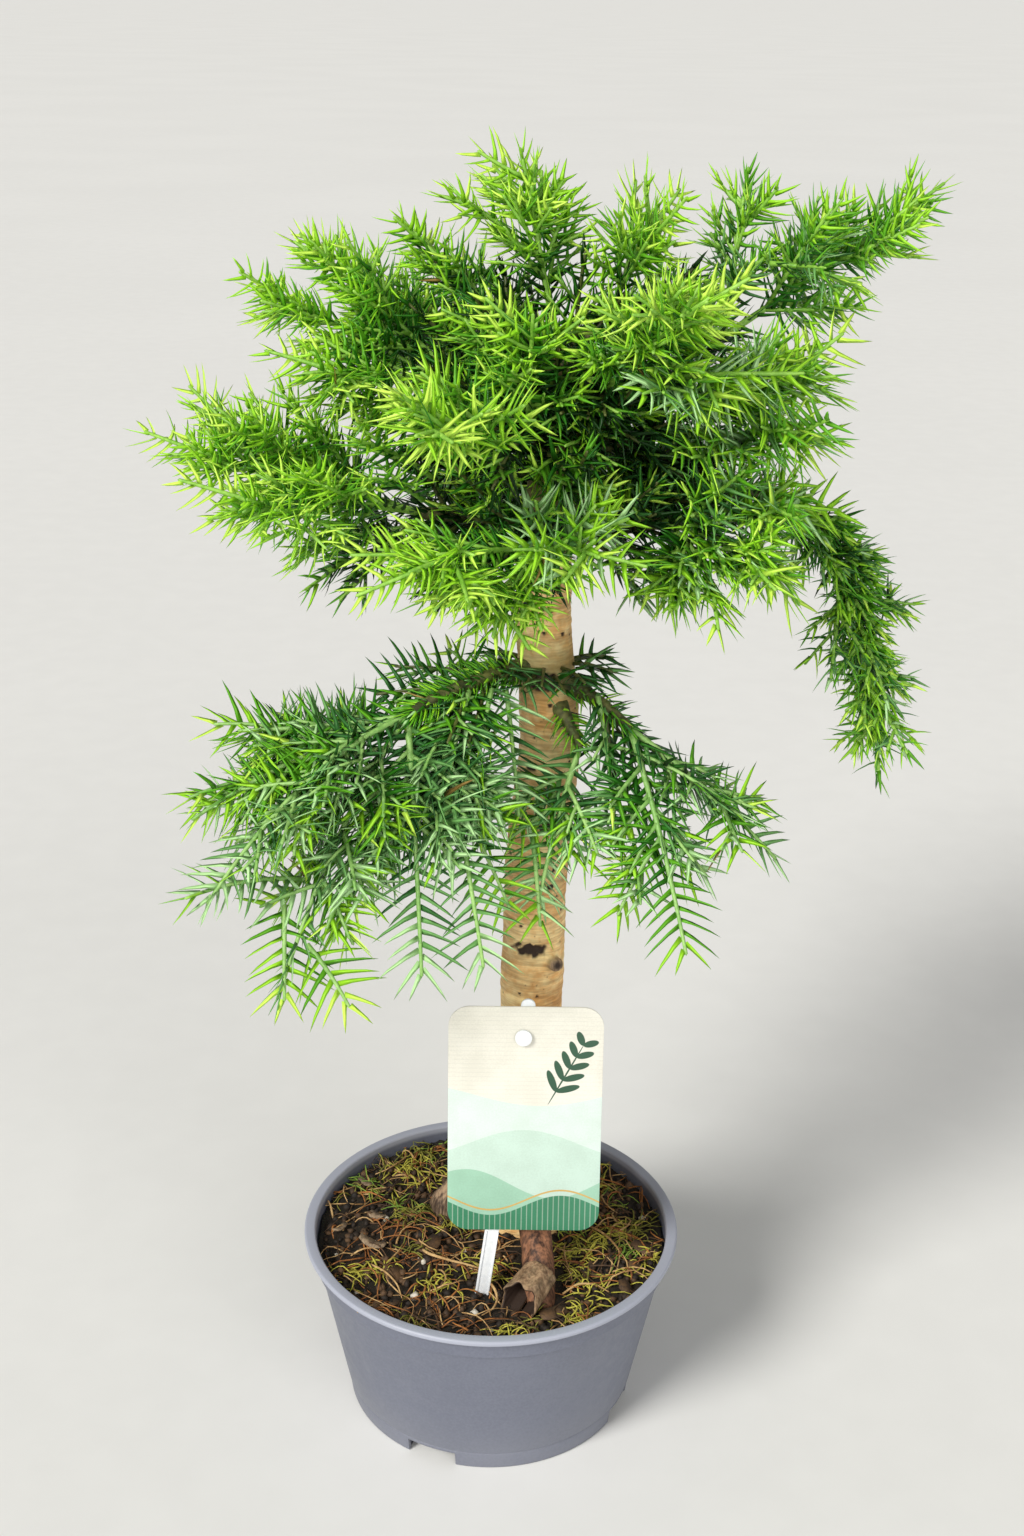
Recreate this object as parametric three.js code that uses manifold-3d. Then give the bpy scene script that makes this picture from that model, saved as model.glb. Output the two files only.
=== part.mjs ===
// Hoop pine bonsai in a low nursery pot: trunk, boughs, needle sprays, potting soil and a plain plant label.
// Millimetres, +Z up. The origin is the centre of the pot's flat underside, and -Y faces the viewer.
// Azimuths are degrees seen from above: 0 is +X (right), 90 is +Y (back), 180 left, 270 front.
import * as THREE from 'three';
import { mergeVertices } from 'three/addons/utils/BufferGeometryUtils.js';
import Module from 'manifold-3d';

const wasm = await Module();
wasm.setup();

// Driving sizes

// clearance between pieces that touch on the real plant
const GAP = 0.3;

const POT = {
  height: 75,
  rimRadius: 75,
  lipWidth: 4,
  lipDepth: 2.6,
  collarRadius: 72,
  collarDepth: 10,
  shoulder: 1.6,
  footRadius: 57.4,
  footHeight: 8,
  footRing: 2.6,
  wall: 1.5,
  floor: 2,
  discRadius: 42,
  channelHeight: 7.5,
  draft: 0.5,
  footStep: 1.3,
  chamfer: 0.6,
  sides: 36,
};

// openings in the foot ring that let water out
const NOTCH = { count: 4, azimuth: 247, width: 20, height: 6.4, depth: 9 };

// rings are steps inward from the edge, waves the spans of the uneven top
const SOIL = {
  height: 67,
  edgeDrop: 1.6,
  edgeFall: 0.3,
  relief: 1.1,
  reliefDepth: 1,
  rings: [9, 24, 40, 56],
  waves: [7, 13, 9, 17],
  sides: 24,
};

const TRUNK = {
  x: 13.5,
  y: 16,
  lean: 0.012,
  bow: 3.6,
  bowHeight: 277,
  bowSpan: 28,
  footRadius: 12.4,
  tipRadius: 3.8,
  tipHeight: 428,
  taperPower: 4,
  flare: 4.5,
  flareHeight: 40,
  bury: 6,
  sides: 12,
  rings: 13,
};

// surface roots that spread from the trunk's foot; reach is out from the trunk's axis
const ROOTS = [
  { azimuth: 276, reach: 59, height: 106, radius: 7.2, tipRadius: 5.8 },
  { azimuth: 173, reach: 32, height: 98, radius: 11.5, tipRadius: 9 },
  { azimuth: 112, reach: 30, height: 98, radius: 9.5, tipRadius: 7.5 },
  { azimuth: 22, reach: 27, height: 96, radius: 9.5, tipRadius: 7 },
];

// how a root bends over and goes into the soil
const ROOT = { bendShare: 0.55, bendDrop: 9, bury: 3, sides: 7, rings: 4 };

const LIMB = { sides: 6, rings: 3, dome: 0.7 };
const STEM = { foot: 0.6, radius: 1.6, tipRadius: 0.9, bare: 9 };
const SHOOT = { foot: 1.2, radius: 1.25, tipRadius: 0.75, bare: 7, bareEnd: 3 };
const NEEDLE = {
  length: 14.5,
  tipLength: 10,
  foot: 3.4,
  spacing: 21,
  lift: 56,
  tipLift: 38,
  shares: [1, 0.8, 0.6],
  tipRoom: 1.2,
  midRoom: 1.8,
  overhang: 9,
};

// where side shoots leave a stem, and how they stand
const BRANCHING = {
  first: 0.12,
  last: 0.86,
  splay: 42,
  splaySpread: 16,
  spread: 84,
  taper: 0.6,
  lengthSpread: 0.3,
  forward: 0.12,
  clearance: 4,
  woodRoom: 1,
  shares: [1, 0.8, 0.62],
  tested: [0.4, 0.7, 1],
  seed: 1000,
  seedStep: 77,
  stemPoints: 24,
  limbPoints: 12,
};

// Boughs leave the trunk at `height`; their bare limb ends at `reach` from the trunk's axis and `tipHeight`.
// Sprays go on from the limb's tip, or from a share `from` along it. A spray's azimuth, reach and tipHeight
// give its furthest tip, arch lifts its middle, belly pushes its middle outward, and roll turns its side
// shoots up or down, spread to both sides of that. A spray may have its own first, last, spread and taper.
const sprayTo = (name, azimuth, reach, tipHeight, shape) => ({ name, azimuth, reach, tipHeight, ...shape });
const BOUGHS = [
  {
    name: 'low_left', height: 306, azimuth: 214, reach: 60, tipHeight: 299,
    arch: 8, radius: 3.6, tipRadius: 2.4,
    sprays: [
      sprayTo('low_left_arm', 194, 123, 291, {
        arch: -2, shoots: 5, length: 44, roll: -34, spread: 60, last: 0.74,
      }),
      sprayTo('low_left_outer', 205, 144, 265, {
        arch: 8, shoots: 6, length: 48, roll: -22, spread: 60, last: 0.74,
      }),
      sprayTo('low_left_hang', 225, 129, 209, {
        arch: 22, shoots: 6, length: 54, roll: -8, spread: 60, last: 0.7,
      }),
      sprayTo('low_left_inner', 246, 97, 216, {
        arch: 16, shoots: 5, length: 46, roll: -6, spread: 60, last: 0.5,
      }),
      sprayTo('low_left_drop', 217, 147, 244, {
        arch: 22, shoots: 5, length: 46, roll: -8, spread: 60, last: 0.74,
      }),
      sprayTo('low_left_skirt', 258, 85, 217, {
        from: 0.82, arch: 16, shoots: 5, length: 38, roll: 0, spread: 60, last: 0.45,
      }),
    ],
  },
  {
    name: 'low_right', height: 303, azimuth: 325, reach: 35, tipHeight: 290,
    arch: 6, radius: 3.2, tipRadius: 2.1,
    sprays: [
      sprayTo('low_right_outer', 338, 98, 240, {
        arch: 6, shoots: 5, length: 36, roll: -6, spread: 60, last: 0.62,
      }),
      sprayTo('low_right_inner', 304, 94, 220, {
        arch: 10, shoots: 5, length: 38, roll: -6, spread: 60, last: 0.55,
      }),
    ],
  },
  {
    name: 'low_front', height: 297, azimuth: 295, reach: 24, tipHeight: 283,
    arch: 4, radius: 2.6, tipRadius: 1.8,
    sprays: [
      sprayTo('low_front', 268, 56, 229, { arch: 9, shoots: 4, length: 28, roll: 0, spread: 60, last: 0.5 }),
    ],
  },
  {
    name: 'left', height: 356, azimuth: 193, reach: 46, tipHeight: 366,
    arch: 3, radius: 3.6, tipRadius: 2.4,
    sprays: [
      sprayTo('left', 187, 140, 388, { arch: 6, shoots: 7, length: 56, roll: 34 }),
      sprayTo('left_fore', 209, 130, 378, { arch: 7, shoots: 7, length: 50, roll: -2 }),
    ],
  },
  {
    name: 'left_back', height: 348, azimuth: 162, reach: 40, tipHeight: 346,
    arch: 3, radius: 3.2, tipRadius: 2.2,
    sprays: [
      sprayTo('left_back', 169, 91, 332, { arch: 8, shoots: 4, length: 30, roll: 0 }),
    ],
  },
  {
    name: 'front_low', height: 352, azimuth: 262, reach: 40, tipHeight: 362,
    arch: 4, radius: 3.6, tipRadius: 2.4,
    sprays: [
      sprayTo('front_low_left', 241, 105, 366, { arch: 5, shoots: 5, length: 44, roll: -24 }),
      sprayTo('front_low', 255, 79, 334, { arch: 14, shoots: 4, length: 30, roll: -6 }),
      sprayTo('front_low_right', 281, 93, 372, { arch: 4, shoots: 5, length: 34, roll: 4 }),
    ],
  },
  {
    name: 'right_low', height: 352, azimuth: 333, reach: 44, tipHeight: 366,
    arch: 3, radius: 3.6, tipRadius: 2.4,
    sprays: [
      sprayTo('right_low', 336, 103, 377, { arch: 6, shoots: 6, length: 42, roll: -8 }),
      sprayTo('right_skirt', 330, 101, 346, { arch: 10, shoots: 4, length: 38, roll: -6 }),
      sprayTo('right_hang', 320, 80, 335, { arch: 14, shoots: 5, length: 36, roll: 0 }),
    ],
  },
  {
    name: 'right_back', height: 367, azimuth: 9, reach: 82, tipHeight: 368,
    arch: 5, radius: 3.4, tipRadius: 2.4,
    sprays: [
      sprayTo('right_tail', 7, 132, 247, {
        arch: 38, belly: 14, shoots: 8, length: 34, roll: 0, spread: 100, first: 0.4, taper: 0.1,
      }),
    ],
  },
  {
    name: 'back_low', height: 354, azimuth: 88, reach: 38, tipHeight: 362,
    arch: 3, radius: 3.4, tipRadius: 2.4,
    sprays: [
      sprayTo('back_low_right', 62, 108, 356, { arch: 6, shoots: 4, length: 46, roll: 0 }),
      sprayTo('back_low_left', 116, 104, 350, { arch: 6, shoots: 4, length: 46, roll: 0 }),
    ],
  },
  {
    name: 'right', height: 381, azimuth: 341, reach: 38, tipHeight: 396,
    arch: 2, radius: 3.2, tipRadius: 2.2,
    sprays: [
      sprayTo('right', 345, 105, 419, { arch: 8, shoots: 7, length: 46, roll: 8 }),
      sprayTo('right_mid', 331, 112, 403, { arch: 1, shoots: 5, length: 44, roll: 18 }),
    ],
  },
  {
    name: 'right_far', height: 393, azimuth: 15, reach: 62, tipHeight: 424,
    arch: 2, radius: 3.4, tipRadius: 2.4,
    sprays: [
      sprayTo('right_far', 13.5, 146, 480, { arch: -2, shoots: 6, length: 52, roll: 12, taper: 0.9 }),
      sprayTo('right_upright', 24, 73, 488, { arch: 0, shoots: 4, length: 28, roll: 0 }),
    ],
  },
  {
    name: 'front_left', height: 386, azimuth: 250, reach: 42, tipHeight: 398,
    arch: 3, radius: 3.2, tipRadius: 2.2,
    sprays: [
      sprayTo('front_left', 250, 132, 417, { arch: 6, shoots: 6, length: 32, roll: 4 }),
      sprayTo('front_top', 262, 60, 449, { from: 0.6, arch: 0, shoots: 5, length: 38, roll: 0 }),
    ],
  },
  {
    name: 'front_right', height: 396, azimuth: 298, reach: 36, tipHeight: 414,
    arch: 2, radius: 3.0, tipRadius: 2.1,
    sprays: [
      sprayTo('front_right', 295, 107, 455, { arch: 5, shoots: 6, length: 42, roll: 6 }),
      sprayTo('front_right_low', 311, 100, 428, { arch: 3, shoots: 6, length: 42, roll: -2 }),
    ],
  },
  {
    name: 'upper_left', height: 392, azimuth: 180, reach: 36, tipHeight: 408,
    arch: 2, radius: 3.2, tipRadius: 2.2,
    sprays: [
      sprayTo('upper_left', 178, 112, 444, { arch: 4, shoots: 6, length: 40, roll: 2 }),
      sprayTo('upper_left_crest', 172, 98, 459, { from: 0.75, arch: 6, shoots: 5, length: 40, roll: -4 }),
      sprayTo('upper_left_fore', 204, 98, 418, { arch: 6, shoots: 5, length: 46, roll: -24 }),
    ],
  },
  {
    name: 'back_right', height: 381, azimuth: 56, reach: 36, tipHeight: 410,
    arch: 2, radius: 3.0, tipRadius: 2.1,
    sprays: [
      sprayTo('back_right', 58, 116, 430, { arch: 5, shoots: 5, length: 48, roll: 4 }),
    ],
  },
  {
    name: 'back_left', height: 390, azimuth: 126, reach: 36, tipHeight: 404,
    arch: 2, radius: 3.0, tipRadius: 2.1,
    sprays: [
      sprayTo('back_left', 126, 114, 420, { arch: 5, shoots: 5, length: 48, roll: 4 }),
    ],
  },
  {
    name: 'top_left', height: 414, azimuth: 152, reach: 20, tipHeight: 430,
    arch: 1, radius: 2.6, tipRadius: 1.9,
    sprays: [
      sprayTo('top_left', 156, 65, 467, { arch: -2, shoots: 4, length: 24, roll: -10 }),
    ],
  },
  {
    name: 'top_right', height: 412, azimuth: 352, reach: 18, tipHeight: 432,
    arch: 1, radius: 2.6, tipRadius: 1.9,
    sprays: [
      sprayTo('top_right', 352, 37, 478, { arch: 2, shoots: 5, length: 38, roll: 2 }),
    ],
  },
];

// the shoot that goes on from the trunk's own tip
const LEADER = sprayTo('top', 160, 16, 495, { arch: 0, shoots: 6, length: 38, roll: -18 });

// the card leans back with the stake; sizes run up the leaning face from the stake's foot
const LABEL = {
  footX: -3.2,
  footY: -36,
  leanBack: 7,
  width: 58,
  height: 92,
  corner: 8,
  cornerSteps: 6,
  thickness: 0.7,
  cardX: 15.4,
  cardFoot: 27.5,
};
const STAKE = {
  length: 122,
  topX: 16.4,
  width: 5.4,
  thickness: 1.3,
  rib: 1.2,
  ribDepth: 1.8,
  ribEnd: 6,
  lap: 0.4,
  endSteps: 5,
};
const PEG = {
  height: 107.5,
  radius: 1.5,
  hole: 1.9,
  head: 3.2,
  headTop: 2.3,
  headDepth: 1.5,
  lap: 0.6,
  sides: 12,
};

const FINISH = {
  pot: { color: 0x7d7f8a, roughness: 0.5 },
  soil: { color: 0x2a2013, roughness: 0.95 },
  bark: { color: 0xb48d5c, roughness: 0.8 },
  limb: { color: 0x6b6a38, roughness: 0.75 },
  foliage: { color: 0x4d9b34, roughness: 0.6 },
  card: { color: 0xe9ede0, roughness: 0.6 },
  stake: { color: 0xe9ecec, roughness: 0.4 },
};

const UP = new THREE.Vector3(0, 0, 1);

function radians(degrees) {
  return THREE.MathUtils.degToRad(degrees);
}

// Repeatable numbers from 0 to 1.
function seeded(seed) {
  let state = seed >>> 0;
  return () => {
    state = (state + 0x6d2b79f5) >>> 0;
    let mixed = Math.imul(state ^ (state >>> 15), state | 1);
    mixed = (mixed + Math.imul(mixed ^ (mixed >>> 7), mixed | 61)) ^ mixed;
    return ((mixed ^ (mixed >>> 14)) >>> 0) / 4294967296;
  };
}

// Solids and geometries

function solidOf(geometry) {
  const bare = new THREE.BufferGeometry().setAttribute('position', geometry.getAttribute('position').clone());
  if (geometry.index) bare.setIndex(geometry.index.clone());
  const merged = mergeVertices(bare, 1e-4);
  const index = merged.index.array;
  const kept = [];
  for (let i = 0; i < index.length; i += 3) {
    const [a, b, c] = [index[i], index[i + 1], index[i + 2]];
    if (a !== b && b !== c && a !== c) kept.push([a, b, c]);
  }
  const build = (faces) =>
    new wasm.Manifold(
      new wasm.Mesh({
        numProp: 3,
        vertProperties: merged.attributes.position.array,
        triVerts: new Uint32Array(faces.flat()),
      }),
    );
  const solid = build(kept);
  return solid.volume() < 0 ? build(kept.map(([a, b, c]) => [a, c, b])) : solid;
}

function geometryOf(solid) {
  const mesh = solid.getMesh();
  const places = new Float32Array(mesh.numVert * 3);
  for (let i = 0; i < mesh.numVert; i += 1) {
    places.set(mesh.vertProperties.subarray(i * mesh.numProp, i * mesh.numProp + 3), i * 3);
  }
  const geometry = new THREE.BufferGeometry();
  geometry.setAttribute('position', new THREE.BufferAttribute(places, 3));
  geometry.setIndex(new THREE.BufferAttribute(new Uint32Array(mesh.triVerts), 1));
  geometry.computeVertexNormals();
  return geometry;
}

// The largest body of a solid, with sealed hollows filled and loose scraps dropped.
function mainBody(solid) {
  const bodies = solid.simplify(0.01).decompose();
  return bodies.sort((a, b) => b.volume() - a.volume())[0];
}

function turned(profile, sides) {
  const points = profile.map(([radius, height]) => new THREE.Vector2(radius, height));
  return new THREE.LatheGeometry(points, sides).rotateX(Math.PI / 2);
}

// A closed tube over rings of equal corner count, capped flat at its foot and brought to a point at its tip.
function ringTube(rings, tip) {
  const sides = rings[0].length;
  const places = rings.flat().concat([tip]);
  const index = [];
  for (let j = 1; j < sides - 1; j += 1) index.push(0, j + 1, j);
  for (let i = 0; i + 1 < rings.length; i += 1) {
    for (let j = 0; j < sides; j += 1) {
      const a = i * sides + j;
      const b = i * sides + ((j + 1) % sides);
      index.push(a, b, a + sides, b, b + sides, a + sides);
    }
  }
  const last = (rings.length - 1) * sides;
  for (let j = 0; j < sides; j += 1) index.push(last + j, last + ((j + 1) % sides), places.length - 1);
  const geometry = new THREE.BufferGeometry().setFromPoints(places);
  geometry.setIndex(index);
  return geometry;
}

function ringAt(centre, side, other, radius, sides, turn = 0) {
  return Array.from({ length: sides }, (unused, j) => {
    const angle = turn + (2 * Math.PI * j) / sides;
    const out = side.clone().multiplyScalar(Math.cos(angle)).addScaledVector(other, Math.sin(angle));
    return centre.clone().addScaledVector(out, radius);
  });
}

// Two directions square to a curve at u, turned as little as possible from one fixed axis.
function crossAxes(curve, u) {
  const along = curve.getTangentAt(u);
  const chord = curve.getPoint(1).sub(curve.getPoint(0)).normalize();
  const middle = curve.getTangentAt(0.5);
  const axes = [new THREE.Vector3(1, 0, 0), new THREE.Vector3(0, 1, 0), UP];
  const lean = (axis) => Math.abs(axis.dot(chord)) + Math.abs(axis.dot(middle));
  const fixed = axes.reduce((best, axis) => (lean(axis) < lean(best) ? axis : best));
  const side = along.clone().cross(fixed).normalize();
  return { along, side, other: along.clone().cross(side).normalize() };
}

// A tapering limb along a curve with a domed tip.
function limbGeometry(curve, radius, tipRadius, sides, count) {
  const rings = [];
  for (let i = 0; i <= count; i += 1) {
    const u = i / count;
    const { side, other } = crossAxes(curve, u);
    rings.push(ringAt(curve.getPointAt(u), side, other, radius + (tipRadius - radius) * u, sides));
  }
  const { along, side, other } = crossAxes(curve, 1);
  const end = curve.getPointAt(1);
  const dome = end.clone().addScaledVector(along, LIMB.dome * tipRadius);
  rings.push(ringAt(dome, side, other, LIMB.dome * tipRadius, sides));
  return ringTube(rings, end.clone().addScaledVector(along, tipRadius));
}

// Trunk

function trunkAxis(height) {
  const bend = (height - TRUNK.bowHeight) / TRUNK.bowSpan;
  const x = TRUNK.x + TRUNK.lean * (height - SOIL.height) + TRUNK.bow * Math.exp(-bend * bend);
  return new THREE.Vector3(x, TRUNK.y, height);
}

function trunkRadius(height) {
  const share = THREE.MathUtils.clamp((height - SOIL.height) / (TRUNK.tipHeight - SOIL.height), 0, 1);
  const wide = TRUNK.tipRadius + (TRUNK.footRadius - TRUNK.tipRadius) * (1 - share ** TRUNK.taperPower);
  const flare = Math.max(0, 1 - (height - SOIL.height) / TRUNK.flareHeight);
  return wide + TRUNK.flare * flare * flare;
}

function trunkGeometry(extra) {
  const foot = SOIL.height - TRUNK.bury;
  const rings = [];
  for (let i = 0; i <= TRUNK.rings; i += 1) {
    const height = foot + ((TRUNK.tipHeight - foot) * i) / TRUNK.rings;
    const ring = ringAt(
      trunkAxis(height),
      new THREE.Vector3(1, 0, 0),
      new THREE.Vector3(0, 1, 0),
      trunkRadius(height) + extra,
      TRUNK.sides,
    );
    rings.push(ring);
  }
  return ringTube(rings, trunkAxis(TRUNK.tipHeight + TRUNK.tipRadius + extra));
}

function outward(azimuth) {
  return new THREE.Vector3(Math.cos(radians(azimuth)), Math.sin(radians(azimuth)), 0);
}

// A place `reach` from the trunk's axis at one azimuth and height.
function placeAt(azimuth, reach, height) {
  return trunkAxis(height).addScaledVector(outward(azimuth), reach);
}

function rootGeometry(root) {
  const start = trunkAxis(root.height);
  const bend = placeAt(root.azimuth, root.reach * ROOT.bendShare, root.height - ROOT.bendDrop);
  const end = placeAt(root.azimuth, root.reach, SOIL.height - ROOT.bury);
  const curve = new THREE.QuadraticBezierCurve3(start, bend, end);
  return limbGeometry(curve, root.radius, root.tipRadius, ROOT.sides, ROOT.rings);
}

function trunkSolid() {
  const pieces = [solidOf(trunkGeometry(0)), ...ROOTS.map((root) => solidOf(rootGeometry(root)))];
  const size = 4 * POT.rimRadius;
  const below = new THREE.BoxGeometry(size, size, size).translate(0, 0, SOIL.height + GAP - size / 2);
  return mainBody(wasm.Manifold.union(pieces).subtract(solidOf(below)));
}

// Boughs and sprays

function boughCurve(bough) {
  const start = trunkAxis(bough.height);
  const end = placeAt(bough.azimuth, bough.reach, bough.tipHeight);
  const middle = start.clone().lerp(end, 0.5).addScaledVector(UP, bough.arch);
  return new THREE.QuadraticBezierCurve3(start, middle, end);
}

// A stem from its limb to just short of the spray's furthest tip, which its last needles reach.
function sprayCurve(spray, base, baseRadius, along) {
  const tip = placeAt(spray.azimuth, spray.reach, spray.tipHeight);
  const middle = base.clone().lerp(tip, 0.5).addScaledVector(UP, spray.arch);
  middle.addScaledVector(outward(spray.azimuth), spray.belly || 0);
  const heading = middle.clone().sub(base).normalize();
  const slant = along ? along.dot(heading) : 0;
  const clear = (baseRadius + STEM.foot * Math.abs(slant)) / Math.sqrt(1 - slant * slant);
  const start = base.clone().addScaledVector(heading, clear + GAP);
  const ending = tip.clone().sub(middle).normalize();
  const end = tip.clone().addScaledVector(ending, -NEEDLE.overhang);
  return new THREE.QuadraticBezierCurve3(start, middle, end);
}

// The same for a spray that leaves the side of its limb.
function sideCurve(spray, bough) {
  const radius = bough.radius + (bough.tipRadius - bough.radius) * spray.from;
  return sprayCurve(spray, bough.curve.getPointAt(spray.from), radius, bough.curve.getTangentAt(spray.from));
}

const boughs = BOUGHS.map((bough) => ({ ...bough, curve: boughCurve(bough) }));
const sprays = boughs.flatMap((bough) =>
  bough.sprays.map((spray) => ({
    ...spray,
    curve: spray.from ? sideCurve(spray, bough) : sprayCurve(spray, bough.curve.getPoint(1), bough.tipRadius),
  })),
);
sprays.push({ ...LEADER, curve: sprayCurve(LEADER, trunkAxis(TRUNK.tipHeight), TRUNK.tipRadius) });
sprays.forEach((spray, order) => {
  spray.order = order;
  spray.line = spray.curve.getPoints(BRANCHING.stemPoints);
});
boughs.forEach((bough) => {
  bough.line = bough.curve.getPoints(BRANCHING.limbPoints);
});

function nearest(point, line) {
  return Math.sqrt(line.reduce((least, place) => Math.min(least, place.distanceToSquared(point)), Infinity));
}

// True where a point lies in a spray's own space: nearer its stem than any other stem, and clear of the wood.
function inSpace(spray, point, margin) {
  const own = nearest(point, spray.line) + margin;
  if (sprays.some((other) => other !== spray && nearest(point, other.line) < own)) return false;
  const touches = (bough) => nearest(point, bough.line) < bough.radius + BRANCHING.woodRoom + margin;
  if (boughs.some(touches)) return false;
  const height = Math.min(point.z, TRUNK.tipHeight);
  return point.distanceTo(trunkAxis(height)) > trunkRadius(height) + BRANCHING.woodRoom + margin;
}

// The side shoots of a spray, as curves from its stem, each kept to the spray's space or left out.
function sideShoots(spray) {
  const draw = seeded(BRANCHING.seed + BRANCHING.seedStep * spray.order);
  const start = spray.curve.getPoint(0);
  const chord = spray.curve.getPoint(1).sub(start);
  const across = new THREE.Vector3(-chord.y, chord.x, 0).normalize();
  const found = [];
  const { first, last, taper, spread } = { ...BRANCHING, ...spray };
  for (let i = 0; i < spray.shoots; i += 1) {
    const t = first + ((last - first) * (i + 0.25 + 0.5 * draw())) / spray.shoots;
    const splay = radians(BRANCHING.splay + BRANCHING.splaySpread * draw());
    const roll = radians(spray.roll + spread * (draw() - 0.5));
    const vigour = 1 - BRANCHING.lengthSpread / 2 + BRANCHING.lengthSpread * draw();
    const length = spray.length * (1 - taper * t) * vigour;
    const from = spray.curve.getPoint(t);
    const along = spray.curve.getTangent(t);
    const above = along.clone().cross(across).normalize();
    const side = above.clone().cross(along).multiplyScalar(i % 2 ? 1 : -1);
    const out = side.multiplyScalar(Math.cos(roll)).addScaledVector(above, Math.sin(roll));
    const heading = along.clone().multiplyScalar(Math.cos(splay)).addScaledVector(out, Math.sin(splay));
    for (const share of BRANCHING.shares) {
      const reach = length * share;
      const middle = from.clone().addScaledVector(heading, reach * 0.5);
      const end = from.clone().addScaledVector(heading, reach);
      end.addScaledVector(along, BRANCHING.forward * reach);
      const curve = new THREE.QuadraticBezierCurve3(from, middle, end);
      const clear = BRANCHING.tested.every((u) => inSpace(spray, curve.getPoint(u), BRANCHING.clearance));
      if (clear) {
        found.push(curve);
        break;
      }
    }
  }
  return found;
}

// A slim core with whorls of three needles that grow out of its faces.
function needleShoot(spray, curve, size) {
  const total = curve.getLength();
  const room = total - size.bare - NEEDLE.foot - SHOOT.bareEnd;
  const whorls = Math.max(1, Math.round(room / NEEDLE.spacing) + 1);
  const step = whorls > 1 ? room / (whorls - 1) : 0;
  const stations = [{ at: 0, turn: 0 }];
  for (let k = 0; k < whorls; k += 1) {
    const at = size.bare + k * step;
    const turn = (k % 2) * (Math.PI / 3);
    stations.push({ at, turn, needles: true, last: k === whorls - 1 }, { at: at + NEEDLE.foot, turn });
  }
  const rings = stations.map(({ at, turn }) => {
    const u = Math.min(1, at / total);
    const { side, other } = crossAxes(curve, u);
    const radius = at === 0 ? size.foot : size.radius + (size.tipRadius - size.radius) * u;
    return ringAt(curve.getPointAt(u), side, other, radius, 3, turn);
  });
  const places = rings.flat();
  const index = [0, 2, 1];
  for (let i = 0; i + 1 < rings.length; i += 1) {
    const turnsBack = stations[i].turn > stations[i + 1].turn;
    for (let j = 0; j < 3; j += 1) {
      const a = i * 3 + j;
      const b = i * 3 + ((j + 1) % 3);
      const [c, d] = [a + 3, b + 3];
      const corners = [a, b, c, d].map((n) => places[n]);
      const apex = stations[i].needles ? needleTip(spray, curve, total, stations[i], corners) : null;
      if (apex) {
        places.push(apex);
        const n = places.length - 1;
        index.push(a, b, n, b, d, n, d, c, n, c, a, n);
      } else if (turnsBack) {
        index.push(a, b, d, a, d, c);
      } else {
        index.push(a, b, c, b, d, c);
      }
    }
  }
  places.push(curve.getPointAt(1));
  const last = (rings.length - 1) * 3;
  for (let j = 0; j < 3; j += 1) index.push(last + j, last + ((j + 1) % 3), places.length - 1);
  const geometry = new THREE.BufferGeometry().setFromPoints(places);
  geometry.setIndex(index);
  return geometry;
}

// Where a needle ends, shortened to stay in its space, or nothing where even a short one would leave it.
function needleTip(spray, curve, total, station, corners) {
  const u = Math.min(1, (station.at + NEEDLE.foot / 2) / total);
  const along = curve.getTangentAt(u);
  const foot = corners.reduce((sum, corner) => sum.add(corner), new THREE.Vector3()).multiplyScalar(0.25);
  const out = foot.clone().sub(curve.getPointAt(u)).normalize();
  const lift = radians(station.last ? NEEDLE.tipLift : NEEDLE.lift);
  const heading = out.multiplyScalar(Math.sin(lift)).addScaledVector(along, Math.cos(lift));
  for (const share of NEEDLE.shares) {
    const length = station.last ? NEEDLE.tipLength : NEEDLE.length;
    const tip = foot.clone().addScaledVector(heading, length * share);
    const middle = foot.clone().lerp(tip, 0.5);
    if (inSpace(spray, tip, NEEDLE.tipRoom) && inSpace(spray, middle, NEEDLE.midRoom)) return tip;
  }
  return null;
}

function spraySolid(spray) {
  const stem = solidOf(needleShoot(spray, spray.curve, STEM));
  const shoots = sideShoots(spray).map((curve) => solidOf(needleShoot(spray, curve, SHOOT)));
  return mainBody(wasm.Manifold.union([stem, ...shoots]));
}

// Pot, soil and label

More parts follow.
